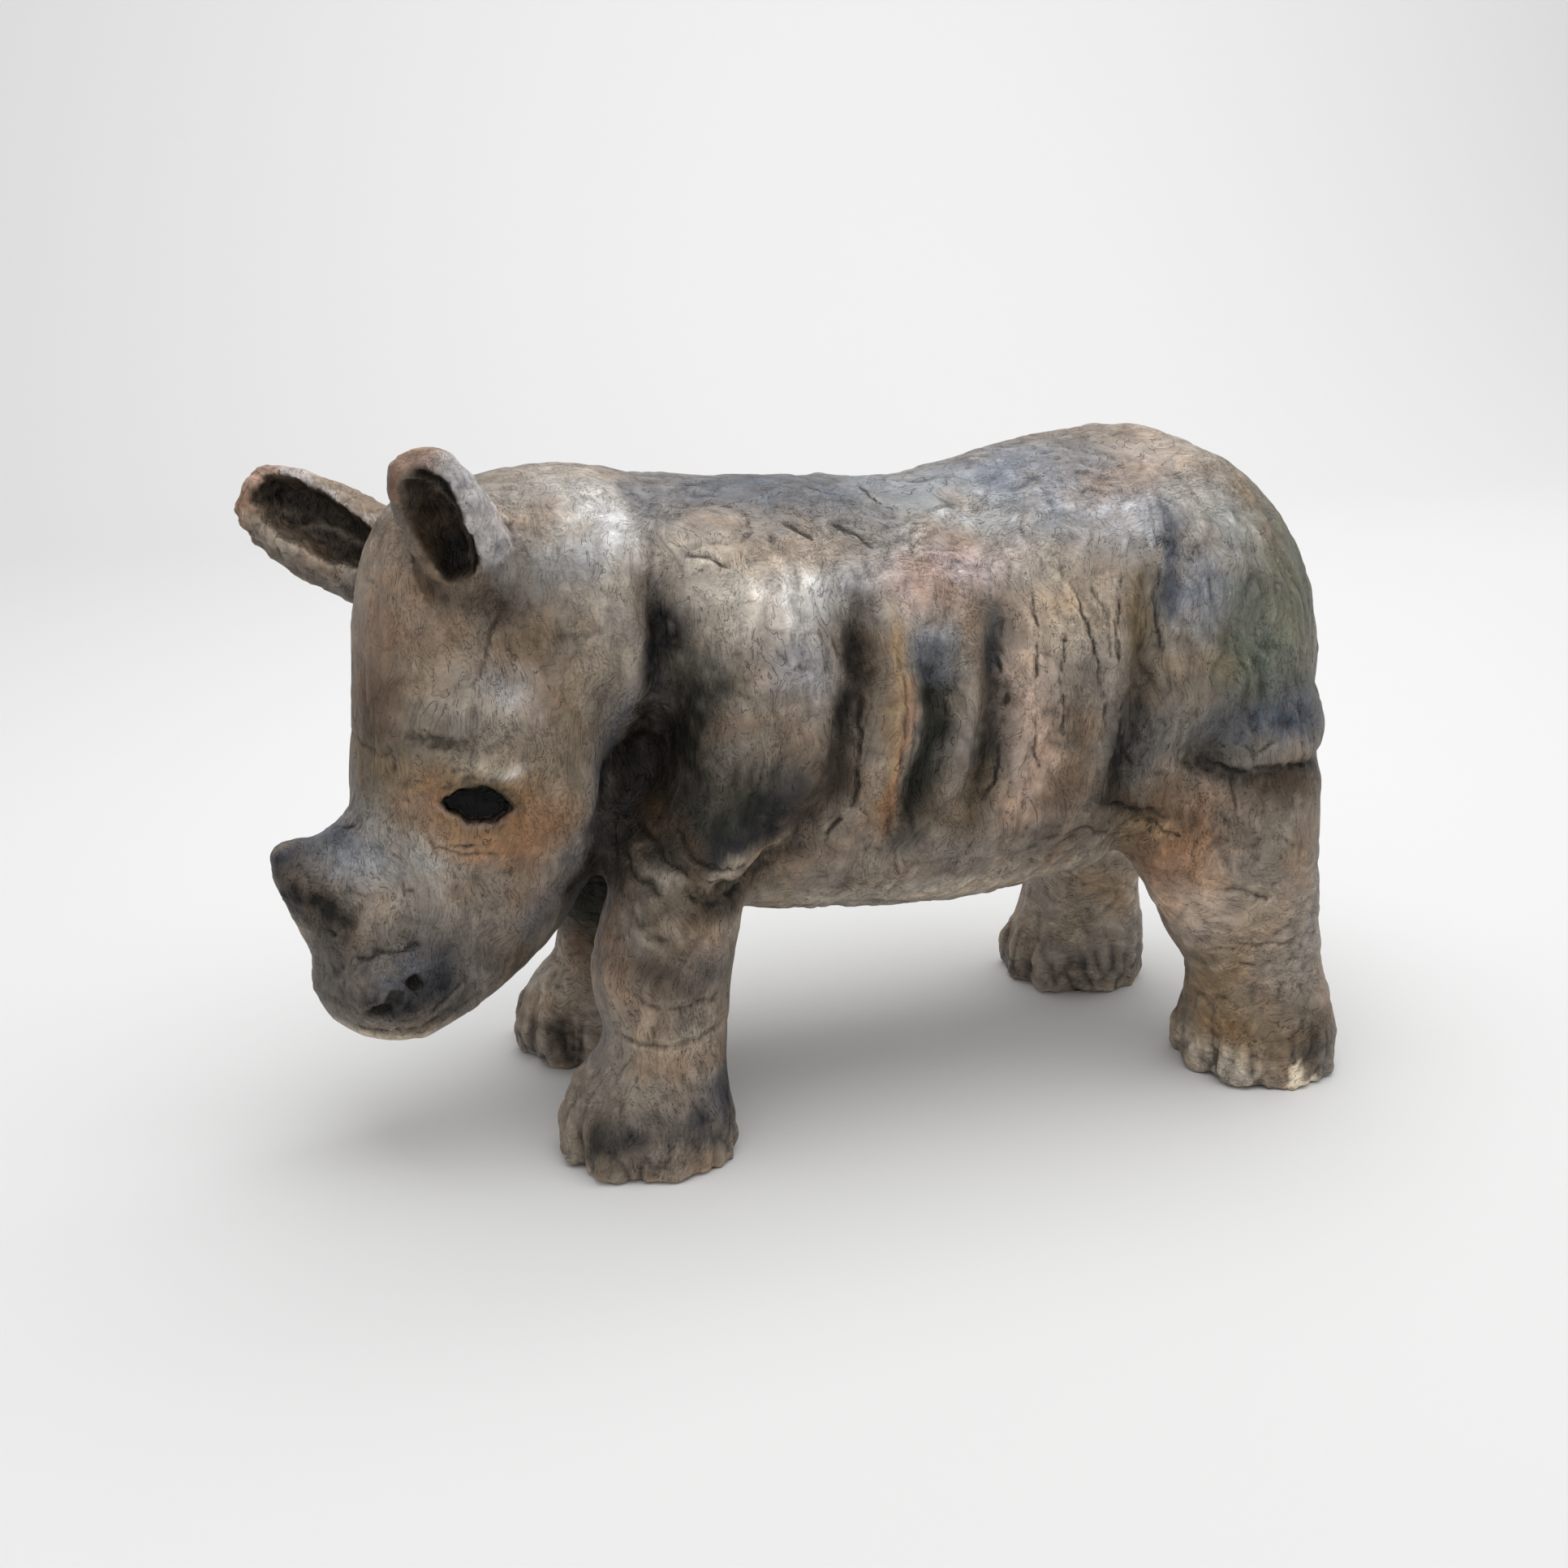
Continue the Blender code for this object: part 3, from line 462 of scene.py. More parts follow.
# The light of the room, and the lamps: place, aim, size and power.
ROOM_COLOUR = (0.80, 0.80, 0.80)
ROOM_STRENGTH = 0.8
LAMPS = (
    ("soft lamp above", (0.05, -0.15, 1.5), (0, 0, 0.1), 1.6, 16),
    ("soft lamp in front", (-1.6, -2.0, 1.6), (0, 0, 0.2), 1.4, 5),
    ("lamp on the sheet", (1.7, 1.7, 2.9), (1.9, 3.6, 1.0), 4.0, 68),
)

# Large odd numbers that stir a lattice corner's coordinates into a repeatable number.
HASH_STEPS = (73856093, 19349663, 83492791)
HASH_SEED = 2654435761
HASH_MIXERS = ((15, 1274126177), (13, 668265263))
HASH_BITS = 0xFFFFFFFF

# The photograph's camera.
CAMERA_PLACE = (-0.34633, -0.86512, 0.42791)
CAMERA_AZIMUTH = -20.0
CAMERA_PITCH = 15.88
CAMERA_LENS = 40.99


def hashed(corners, seed):
    """A repeatable number from -1 to 1 for each lattice corner: its whole coordinates mixed and folded."""
    mixed = np.bitwise_xor.reduce(corners * np.array(HASH_STEPS), axis=1) ^ seed * HASH_SEED
    for shift, mixer in HASH_MIXERS:
        mixed = (mixed ^ (mixed >> shift)) & HASH_BITS
        mixed = (mixed * mixer) & HASH_BITS
    return ((mixed >> 8) & 0xFFFF) / 32767.5 - 1


def clouds(points, cell, seed, layers=1):
    """Soft noise: each lattice corner's number, blended across its cell by t^3 (6t^2 - 15t + 10).

    The cell is one size or one for each axis. Each further layer is half as large and half as strong.
    """
    total, strength = np.zeros(len(points)), 1.0
    for layer in range(layers):
        place = points * (2**layer) / np.array(cell, float) + seed * 7.31
        corner = np.floor(place).astype(np.int64)
        t = place - corner
        t = t**3 * (t * (t * 6 - 15) + 10)
        for x in (0, 1):
            for y in (0, 1):
                for z in (0, 1):
                    weight = np.prod(np.where((x, y, z), t, 1 - t), axis=1)
                    total += strength * weight * hashed(corner + (x, y, z), seed + layer)
        strength /= 2
    return total


def wander(points, cell, seeds, reach, layers=2):
    """A soft push for each vertex, one noise for each seed, up to about the reach."""
    return np.column_stack([clouds(points, cell, seed, layers) for seed in seeds]) * reach


def eased(value, low, high):
    """0 below low and 1 above high, with 3t^2 - 2t^3 between."""
    t = np.clip((value - low) / (high - low), 0, 1)
    return t * t * (3 - 2 * t)


def bell(gap, half_width):
    """1 on a line or at a centre, falling off as exp(-(gap / half width)^2)."""
    return np.exp(-((gap / half_width) ** 2))


def along(side_view, path):
    """Distance of each point from a path in the side view, and its share of the way along, from 0 to 1."""
    path = np.array(path, float)
    steps = np.linalg.norm(np.diff(path, axis=0), axis=1)
    starts = np.concatenate([[0], np.cumsum(steps)])
    nearest, share = np.full(len(side_view), np.inf), np.zeros(len(side_view))
    for a, b, step, start in zip(path, path[1:], steps, starts):
        t = np.clip((side_view - a) @ (b - a) / step**2, 0, 1)
        gap = np.linalg.norm(side_view - (a + t[:, None] * (b - a)), axis=1)
        share = np.where(gap < nearest, (start + t * step) / starts[-1], share)
        nearest = np.minimum(gap, nearest)
    return nearest, share


def tilted(side_view, centre, tilt):
    """X and Z of each point from a centre, along axes that are tilted by these degrees."""
    offset, angle = side_view - np.array(centre, float), np.radians(tilt)
    x = offset[:, 0] * np.cos(angle) + offset[:, 1] * np.sin(angle)
    z = offset[:, 1] * np.cos(angle) - offset[:, 0] * np.sin(angle)
    return x, z


def oval(side_view, centre, reach, tilt):
    """Distance from a tilted oval's centre in the side view, as a share of its reach in that direction."""
    x, z = tilted(side_view, centre, tilt)
    return np.hypot(x / reach[0], z / reach[1])


def unturned(points, pivot=HEAD_PIVOT):
    """Points turned back about the head's upright line, as if the calf looked straight ahead."""
    angle = np.radians(-HEAD_TURN_DEG)
    x, y = points[:, 0] - pivot[0], points[:, 1] - pivot[1]
    return np.column_stack(
        [
            pivot[0] + x * np.cos(angle) - y * np.sin(angle),
            pivot[1] + x * np.sin(angle) + y * np.cos(angle),
            points[:, 2],
        ]
    )


class Skin:
    """The skin's vertices with their normals, in the part's frame and with the head turned back."""

    def __init__(self, piece):
        """Reads the vertices, and finds the share of each that belongs to the head."""
        self.mesh = piece.data
        self.points = three_part(self.mesh, "co") / MM
        self.normals = three_part(self.mesh, "normal")
        self.home = unturned(self.points)
        self.home_normals = unturned(self.normals, (0, 0))
        jaw_x, jaw_z = np.array(JAW_LINE, float).T
        jaw = np.interp(self.points[:, 2], jaw_z, jaw_x)
        self.of_head = eased(jaw - self.points[:, 0], -HEAD_EDGE, HEAD_EDGE)

    def on_side(self, side, head=False):
        """1 where the skin is on that side and faces out, falling to 0 where it faces the middle."""
        points, normals = (self.home, self.home_normals) if head else (self.points, self.normals)
        part = self.of_head if head else 1 - self.of_head
        return eased(points[:, 1] * side, *SIDE_STARTS) * eased(normals[:, 1] * side, *SIDE_FACES) * part

    def both_cheeks(self):
        """1 on either side of the head."""
        return np.maximum(self.on_side(NEAR, True), self.on_side(FAR, True))

    def side_view(self, head=False):
        """X and Z of each vertex."""
        return (self.home if head else self.points)[:, [0, 2]]


def three_part(mesh, name):
    """A three-part property of a mesh's vertices, one row for each."""
    found = np.zeros(len(mesh.vertices) * 3, np.float32)
    mesh.vertices.foreach_get(name, found)
    return found.reshape(-1, 3).astype(float)


def put_back(mesh, points):
    """Moves a mesh's vertices to these places."""
    mesh.vertices.foreach_set("co", (points * MM).astype(np.float32).ravel())
    mesh.update()


def applied(piece):
    """Applies a piece's modifiers to its own mesh."""
    bpy.context.view_layer.update()
    dressed = piece.evaluated_get(bpy.context.evaluated_depsgraph_get())
    piece.data = bpy.data.meshes.new_from_object(dressed)
    piece.modifiers.clear()


def fine_skin(node):
    """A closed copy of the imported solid, rounded between its facets and remade in even small cells."""
    mesh = bpy.data.meshes.new("figurine_skin")
    shell = bmesh.new()
    shell.from_mesh(node.data)
    bmesh.ops.remove_doubles(shell, verts=shell.verts, dist=MERGED_WITHIN * MM)
    bmesh.ops.recalc_face_normals(shell, faces=shell.faces)
    shell.to_mesh(mesh)
    shell.free()
    piece = bpy.data.objects.new("figurine_skin", mesh)
    bpy.context.scene.collection.objects.link(piece)
    rounded = piece.modifiers.new("rounded", "SUBSURF")
    rounded.levels = rounded.render_levels = 2
    cells = piece.modifiers.new("even cells", "REMESH")
    cells.mode = "VOXEL"
    cells.voxel_size = SKIN_CELL * MM
    soften = piece.modifiers.new("facets off", "SMOOTH")
    soften.factor = 0.5
    soften.iterations = SKIN_PASSES
    applied(piece)
    return piece


def edge_ends(mesh):
    """The two vertices of each edge."""
    ends = np.zeros(len(mesh.edges) * 2, np.int32)
    mesh.edges.foreach_get("vertices", ends)
    return ends.reshape(-1, 2)


def averaged(values, ends, times):
    """Each vertex's values taken half way to the mean of its neighbours, a number of times."""
    one, other = ends.T
    count = np.bincount(one, minlength=len(values)) + np.bincount(other, minlength=len(values))
    for _ in range(times):
        columns = [
            np.bincount(one, column[other], len(values)) + np.bincount(other, column[one], len(values))
            for column in values.T
        ]
        values = (values + np.column_stack(columns) / count[:, None]) / 2
    return values


def hollowness(skin, times):
    """How far each vertex lies below its own smoothed surroundings, along its normal."""
    mean = averaged(skin.points, edge_ends(skin.mesh), times)
    return np.einsum("ij,ij->i", mean - skin.points, skin.normals)


def broken(share, gate):
    """Fades a line out at its ends, and breaks it off where the gate's noise is low."""
    return np.clip(np.minimum(share, 1 - share) / FURROW_TAPER, 0, 1) * gate


def furrows(skin, lines, head):
    """Depth and darkness of named furrows: a bell across each line, wandering by clouds of noise."""
    depth, dark = np.zeros(len(skin.points)), np.zeros(len(skin.points))
    view = skin.side_view(head) + wander(skin.points, 10, (61, 67), 2.0)
    gate = eased(clouds(skin.points, cell=8, seed=70, layers=2), -0.7, 0.0)
    for side in (NEAR, FAR):
        shown = skin.on_side(side, head) * (1 if side == NEAR else FAR_SHARE)
        for _, path, half_width, deep, darkness in lines:
            gap, share = along(view, path)
            line = bell(gap, half_width) * broken(share, gate) * shown
            depth += deep * line
            dark = np.maximum(dark, darkness * line)
    return depth, dark


def pits(skin):
    """Depth and darkness of the nostrils and the brow's dent: exp(-r^4), which is flat in the middle."""
    depth, dark = np.zeros(len(skin.points)), np.zeros(len(skin.points))
    view = skin.side_view(True) + wander(skin.points, 4, (71, 73), 1.6)
    for side in (NEAR, FAR):
        shown = skin.on_side(side, head=True)
        for _, centre, reach, tilt, deep, darkness in HEAD_PITS:
            shape = np.exp(-(oval(view, centre, reach, tilt) ** 4)) * shown
            depth += deep * shape
            dark = np.maximum(dark, darkness * shape)
    return depth, dark


def nostril_mound(skin):
    """How much each vertex belongs to the broken mound round the nostrils."""
    return bell(oval(skin.side_view(True), *MOUND), 1) * skin.both_cheeks()


def eye_parts(skin):
    """The opening, its eyeball, and how far outside it each vertex lies, with shares above and below.

    The opening is an almond, |z| < h (1 - x^2)^0.8, with ragged edges.
    """
    view = skin.side_view(True) + wander(skin.points, 5, (75, 77), 1.2)
    x, z = tilted(view, EYE, EYE_TILT)
    across = np.clip(1 - (x / EYE_REACH[0]) ** 2, 0, 1)
    room = across**0.8 * EYE_REACH[1]
    past_corner = np.abs(x) - EYE_REACH[0]
    outside = np.where(past_corner < 0, np.abs(z) - room, np.hypot(past_corner, z))
    shown = skin.both_cheeks()
    opening = eased(-outside, -0.8, 1.0) * shown
    ball = np.clip(1 - (x / EYE_REACH[0]) ** 2 - (z / EYE_REACH[1]) ** 2, 0, 1) * shown
    upper = shown * eased(z, -1, 1)
    return opening, ball, outside, upper, shown - upper


def ear_parts(skin):
    """Each vertex's share in an ear and in its scoop, how far it lies to the deep side, and how far up.

    In the scoop the skin faces the line that the scoop was cut along.
    """
    belongs, inside, aside, up = (np.zeros(len(skin.points)) for _ in range(4))
    for base, tip, opening, off in EARS:
        base, tip = np.array(base), np.array(tip)
        length = np.linalg.norm(tip - base)
        lengthwise = (tip - base) / length
        outward = np.array(opening) - lengthwise * (np.array(opening) @ lengthwise)
        outward /= np.linalg.norm(outward)
        across = np.cross(lengthwise, outward)
        offset = skin.points - base
        t, a, o = offset @ lengthwise / length, offset @ across, offset @ outward
        close = (np.hypot(a, o) < EAR_HALF_WIDTH) * eased(t, *EAR_ROOT) * (t < EAR_END)
        middle = offset - np.outer(t * length, lengthwise)
        towards = outward * SCOOP_LINE + across * off - middle
        towards /= np.linalg.norm(towards, axis=1)[:, None]
        faces = np.einsum("ij,ij->i", towards, skin.normals)
        hollow = eased(faces, 0.1, 0.6) * close * eased(t, -0.05, 0.1) * (1 - eased(t, 0.88, 1.0))
        mine = close > belongs
        belongs = np.where(mine, close, belongs)
        inside = np.where(mine, hollow, inside)
        aside = np.where(mine, a, aside)
        up = np.where(mine, t, up)
    return belongs, inside, aside, up


def lie_of_the_paper(skin):
    """0 where the wrinkles of the paper run upright, as on the flanks, and 1 where they run level."""
    body = 1 - skin.of_head
    legs = eased(LEG_TOP - skin.points[:, 2], 0, 40)
    hind = legs * eased(skin.points[:, 0], HIND_FROM, HIND_FROM + 30)
    back = eased(skin.normals[:, 2], 0.45, 0.8) * body
    fore = legs * eased(skin.points[:, 1], 0, 20) * body
    level = np.maximum(np.maximum(hind, back), fore)
    return np.clip(level + 0.25 * clouds(skin.points, cell=40, seed=5), 0, 1)


def wrinkles(skin, lie):
    """Height of the pressed paper and its darkest lines, from noise stretched along the wrinkles.

    A line is where the noise passes through zero, exp(-(n / w)^2), and a second noise breaks it off.
    The crumple is the size of a noise, |n|, so its valleys are sharp.
    """
    bent = skin.points + wander(skin.points, 30, (31, 37, 41), 8)
    upright = clouds(bent, cell=UPRIGHT_CELL, seed=3, layers=2)
    level = clouds(bent, cell=LEVEL_CELL, seed=9, layers=2)
    waves = (1 - lie) * upright + lie * level
    lines = (1 - lie) * bell(upright, LINE_WIDTH) + lie * bell(level, LINE_WIDTH)
    lines = lines * eased(clouds(skin.points, cell=20, seed=13, layers=2), -0.1, 0.6)
    crumple = np.abs(clouds(bent, cell=CRUMPLE_CELL, seed=17, layers=2))
    lumps = clouds(skin.points, cell=LUMP_CELL, seed=19)
    height = WAVE_HEIGHT * waves + CRUMPLE_HEIGHT * crumple + LUMP_HEIGHT * lumps
    return height - LINE_DEPTH * lines, lines


def toes(skin):
    """Ragged upright folds round the feet, strongest at the floor: noise stretched upright."""
    low = eased(FOOT_TOP - skin.points[:, 2], 0, 30)
    folds = clouds(skin.points, cell=(12, 12, 44), seed=23, layers=2)
    ragged = clouds(skin.points, cell=(6, 6, 5), seed=29, layers=2) * eased(11 - skin.points[:, 2], 0, 7)
    return low * (FOOT_FOLD * np.abs(folds) + FOOT_RAGGED * ragged), low * bell(folds, 0.16)


def ear_ridge(inside, aside, up, sway, width):
    """1 along the ridge in an ear's scoop, which leans and sways as it climbs."""
    return inside * bell(aside - RIDGE_LEAN * (0.75 - up) + 2 * sway, width)


def rubble(skin, opening):
    """Height of the crumbs on the horn, the ears and the eye, and of the nostrils' broken mound."""
    ear, inside, aside, up = ear_parts(skin)
    mound = nostril_mound(skin)
    horn = eased(HORN_FROM - skin.home[:, 0], 0, 14) * eased(skin.home[:, 2], *HORN_FOOT)
    crumbs = clouds(skin.points, cell=(7, 6, 6), seed=43, layers=3)
    rough = horn * HORN_CRUMBS * crumbs + mound * (MOUND_HEIGHT + MOUND_CRUMBS * np.abs(crumbs))
    rough = rough + ear * EAR_CRUMBS * crumbs + opening * EYE_CRUMBS * crumbs
    return rough, ear_ridge(inside, aside, up, crumbs, 1.8) * RIDGE_HEIGHT


def pressed(piece):
    """Presses all the relief into the skin, along its normals."""
    skin = Skin(piece)
    paper, _ = wrinkles(skin, lie_of_the_paper(skin))
    body_depth, _ = furrows(skin, FURROWS, head=False)
    head_depth, _ = furrows(skin, HEAD_FURROWS, head=True)
    pit_depth, _ = pits(skin)
    opening, ball, outside, upper, lower = eye_parts(skin)
    toe_height, _ = toes(skin)
    rough, ridge = rubble(skin, opening)
    calm = 1 - HEAD_CALM * skin.of_head - EYE_CALM * opening
    lids = bell(outside - 2.2, 2.0) * (UPPER_LID * upper + LOWER_LID * lower)
    height = paper * calm + toe_height + rough + ridge + lids - SOCKET_DEPTH * opening + EYEBALL * ball
    height -= body_depth + head_depth + pit_depth
    off_floor = eased(skin.points[:, 2], 0.5, 3)
    put_back(skin.mesh, skin.points + skin.normals * (height * off_floor)[:, None])


def lightened(piece):
    """Fewer triangles where the skin is plain."""
    triangles = sum(len(face.vertices) - 2 for face in piece.data.polygons)
    if triangles > SKIN_TRIANGLES:
        fewer = piece.modifiers.new("fewer triangles", "DECIMATE")
        fewer.ratio = SKIN_TRIANGLES / triangles
        applied(piece)


def fitted(piece, low, high):
    """Levels the soles and takes the skin up to the walls of the solid's box, evenly along each axis."""
    points = three_part(piece.data, "co") / MM
    low, high = np.array(low) / MM, np.array(high) / MM
    points[points[:, 2] < LEVEL_BELOW, 2] = 0
    least, most = points.min(axis=0), points.max(axis=0)
    put_back(piece.data, low + (points - least) * (high - low) / (most - least))


def laid(colours, paint, strength):
    """Paint laid over the colours at a strength from 0 to 1 for each vertex."""
    return colours + (paint - colours) * strength[:, None]


def ground(skin):
    """The first coat: taupe with broad warm and brown clouds, and painted shade in umber where the body faces
    down.
    """
    colours = np.tile(TAUPE, (len(skin.points), 1))
    broad = clouds(skin.points, cell=55, seed=83, layers=3)
    # painted shade: umber on the body's faces that look down
    under = eased(-skin.normals[:, 2], 0.3, 0.9) * (1 - skin.of_head)
    colours = laid(colours, WARM_GREY, 0.6 * eased(broad, 0.0, 0.9))
    colours = laid(colours, UMBER, 0.35 * eased(-broad, 0.1, 0.9))
    return laid(colours, UMBER, 0.4 * under)


def washes(skin, colours, ovals, strokes, head):
    """Soft patches exp(-r^2) and strokes, bent by clouds of noise, on the near side and then the far side."""
    view = skin.side_view(head) + wander(skin.points, 24, (51, 57), 5, layers=3)
    speckle = 1 + 0.25 * clouds(skin.points, cell=5, seed=59, layers=2)
    for side in (NEAR, FAR):
        shown = skin.on_side(side, head) * (1 if side == NEAR else FAR_SHARE) * speckle
        for _, paint, centre, reach, tilt, strength in ovals:
            patch = bell(oval(view, centre, reach, tilt), 1)
            colours = laid(colours, paint, np.clip(patch * shown * strength, 0, 1))
        for _, paint, path, half_width, strength in strokes:
            gap, _ = along(view, path)
            colours = laid(colours, paint, np.clip(bell(gap, half_width) * shown * strength, 0, 1))
    return colours


def inner_washes(skin, colours):
    """Soft patches exp(-r^2) placed in space, on the legs' faces that look inwards and on the chest."""
    moved = skin.points + wander(skin.points, 24, (52, 54, 56), 5)
    for _, paint, centre, reach, strength in INNER_WASHES:
        gap = np.linalg.norm((moved - np.array(centre)) / np.array(reach), axis=1)
        colours = laid(colours, paint, np.clip(bell(gap, 1) * strength * (1 - skin.of_head), 0, 1))
    return colours


def ear_paint(skin, colours):
    """Grey backs, brown scoops that are near black on their deep side, and a paler ridge in each."""
    ear, inside, aside, up = ear_parts(skin)
    outer = ear * (1 - inside)
    blotches = clouds(skin.points, cell=14, seed=91, layers=3)
    near = eased(-skin.points[:, 1], -5, 5)
    deep = eased(aside + 16 * (0.5 - up) + 4 * blotches, -8, 2)
    coats = (
        (WARM_GREY, 0.6 * outer),
        (UMBER, 0.6 * outer * eased(-aside + 6 * blotches, 4, 14)),
        (PALE_BLUE, 0.3 * outer * eased(aside + 6 * blotches, 4, 16)),
        (RUSSET, 0.5 * outer * eased(up + 0.3 * blotches, 0.8, 1.0)),
        (UMBER, 0.8 * outer * eased(0.25 - up, 0, 0.3)),
        (UMBER, 0.8 * inside),
        (BLACK_BROWN, (0.4 + 0.6 * near) * inside * deep),
        (WARM_GREY, 0.3 * ear_ridge(inside, aside, up, blotches, 1.8)),
    )
    for paint, strength in coats:
        colours = laid(colours, paint, strength)
    return colours


def hollow_shade_and_ridge_highlight(skin, colours):
    """Near-black painted shade in the hollows, wide and fine, and a painted highlight on the fine ridges."""
    fine, wide = hollowness(skin, 4), hollowness(skin, 40)
    colours = laid(colours, BLACK_BROWN, 0.7 * eased(wide, 0.5, 3.5))
    colours = laid(colours, BLACK_BROWN, 0.55 * eased(fine, 0.06, 0.45))
    return colours * (1 + 0.4 * eased(-fine, 0.06, 0.4))[:, None]


def foot_paint(skin, colours, toe_dark):
    """Blue-black in the folds of the feet, and a worn pale edge along the soles."""
    colours = laid(colours, BLUE_BLACK, 0.45 * toe_dark)
    sole = eased(5 - skin.points[:, 2], 0, 4) * eased(clouds(skin.points, cell=8, seed=97), -0.4, 0.4)
    return laid(colours, PALE_BEIGE, 0.6 * sole)


def eye_paint(skin, colours):
    """Black in the opening, a smudge round it, heaviest above and ahead, and a blue-grey rim below."""
    opening, _, outside, upper, lower = eye_parts(skin)
    beyond = np.maximum(outside, 0)
    colours = laid(colours, GREEN_BLACK, 0.95 * bell(beyond, 4.0) * upper)
    colours = laid(colours, BLUE_BLACK, 0.8 * bell(beyond, 2.6) * lower)
    colours = laid(colours, GREY_BLUE, 0.3 * bell(outside - 2.8, 1.1) * lower)
    return laid(colours, EYE_BLACK, opening), opening


def chips(skin):
    """Where the paint is chipped off, with ragged edges."""
    ragged = clouds(skin.points, cell=4, seed=95, layers=2)
    found = np.zeros(len(skin.points))
    for centre, reach in CHIPS:
        gap = np.linalg.norm((skin.points - np.array(centre)) / np.array(reach), axis=1)
        found = np.maximum(found, eased(1 - gap + 0.5 * ragged, 0, 0.25))
    return found


def painted(piece):
    """Lays the paint on the final skin, and marks dark lines, the lie of the fibres and the eyes' shine."""
    skin = Skin(piece)
    lie = lie_of_the_paper(skin)
    _, lines = wrinkles(skin, lie)
    _, body_dark = furrows(skin, FURROWS, head=False)
    _, head_dark = furrows(skin, HEAD_FURROWS, head=True)
    _, pit_dark = pits(skin)
    _, toe_dark = toes(skin)
    colours = washes(skin, ground(skin), FLANK_WASHES, FLANK_STROKES, head=False)
    colours = inner_washes(skin, colours)
    colours = washes(skin, colours, HEAD_WASHES, HEAD_STROKES, head=True)
    # painted shade in the hollows and a painted highlight on the fine ridges
    colours = hollow_shade_and_ridge_highlight(skin, ear_paint(skin, colours))
    colours, opening = eye_paint(skin, foot_paint(skin, colours, toe_dark))
    chipped = chips(skin)
    colours = laid(colours, CHIP_WHITE, chipped)
    dark = np.maximum.reduce([body_dark, head_dark, pit_dark, 0.5 * lines, 0.5 * toe_dark])
    put_colours(skin.mesh, "paint", colours)
    put_colours(skin.mesh, "marks", np.column_stack([dark * (1 - chipped), lie, opening]))


def put_colours(mesh, name, rows):
    """Stores three values for each vertex as a colour attribute."""
    store = mesh.color_attributes.new(name, "FLOAT_COLOR", "POINT")
    full = np.column_stack([rows, np.ones(len(rows))]).astype(np.float32)
    store.data.foreach_set("color", full.ravel())


def added(tree, kind, **settings):
    """A new node with these settings."""
    node = tree.nodes.new(kind)
    for name, value in settings.items():
        setattr(node, name, value)
    return node


def fed(tree, target, source):
    """Feeds a node's input from another node's output, or sets it to a plain value."""
    if isinstance(source, bpy.types.NodeSocket):
        tree.links.new(source, target)
    else:
        target.default_value = source


def maths(tree, operation, *values):
    """A Math node's result, with any values past the second joined on one after another."""
    node = added(tree, "ShaderNodeMath", operation=operation)
    for socket, value in zip(node.inputs, values[:2]):
        fed(tree, socket, value)
    joined = node.outputs[0]
    return maths(tree, operation, joined, *values[2:]) if values[2:] else joined


def ramp(tree, value, low, high, start=0.0, end=1.0):
    """A value taken evenly from one range to another, and held at the ends."""
    node = added(tree, "ShaderNodeMapRange")
    for socket, given in zip(node.inputs, (value, low, high, start, end)):
        fed(tree, socket, given)
    return node.outputs[0]


def blend(tree, share, one, other, kind="MIX"):
    """Two colours mixed by a share."""
    node = added(tree, "ShaderNodeMix", data_type="RGBA", blend_type=kind)
    for socket, given in zip((node.inputs[0], node.inputs[6], node.inputs[7]), (share, one, other)):
        fed(tree, socket, given)
    return node.outputs[2]


def noise(tree, vector, scale, detail, roughness=0.55, distortion=0.0):
    """A noise node read at a vector."""
    node = added(tree, "ShaderNodeTexNoise")
    fed(tree, node.inputs["Vector"], vector)
    values = {"Scale": scale, "Detail": detail, "Roughness": roughness, "Distortion": distortion}
    for name, value in values.items():
        node.inputs[name].default_value = value
    return node


def stretched(tree, vector, scales):
    """A vector scaled along each axis."""
    node = added(tree, "ShaderNodeMapping")
    fed(tree, node.inputs["Vector"], vector)
    node.inputs["Scale"].default_value = scales
    return node.outputs["Vector"]


def thin_line(tree, source, width, gate):
    """1 where a noise passes its middle, falling to 0 at the width, and only where the gate is open."""
    away = maths(tree, "ABSOLUTE", maths(tree, "SUBTRACT", source, 0.5))
    return maths(tree, "MULTIPLY", ramp(tree, away, 0.0, width, 1.0, 0.0), gate)


def fibre_group():
    """Fibres of the paper: thin dark lines where noise passes its middle, and the waves between them."""
    group = bpy.data.node_groups.new("paper fibres", "ShaderNodeTree")
    group.interface.new_socket("Place", in_out="INPUT", socket_type="NodeSocketVector")
    for name in FIBRE_OUTPUTS:
        group.interface.new_socket(name, in_out="OUTPUT", socket_type="NodeSocketFloat")
    start, end = added(group, "NodeGroupInput"), added(group, "NodeGroupOutput")
    place = start.outputs["Place"]
    coarse = noise(group, place, 1.0, 3.0, 0.55, 1.2).outputs["Fac"]
    fine = noise(group, place, 2.9, 4.0, 0.65, 0.8).outputs["Fac"]
    gate = noise(group, place, 0.4, 2.0).outputs["Fac"]
    coarse_lines = thin_line(group, coarse, 0.009, ramp(group, gate, 0.46, 0.6))
    fine_lines = thin_line(group, fine, 0.014, ramp(group, gate, 0.54, 0.4))
    group.links.new(maths(group, "MAXIMUM", coarse_lines, fine_lines), end.inputs["Lines"])
    group.links.new(coarse, end.inputs["Waves"])
    group.links.new(fine, end.inputs["Grain"])
    return group


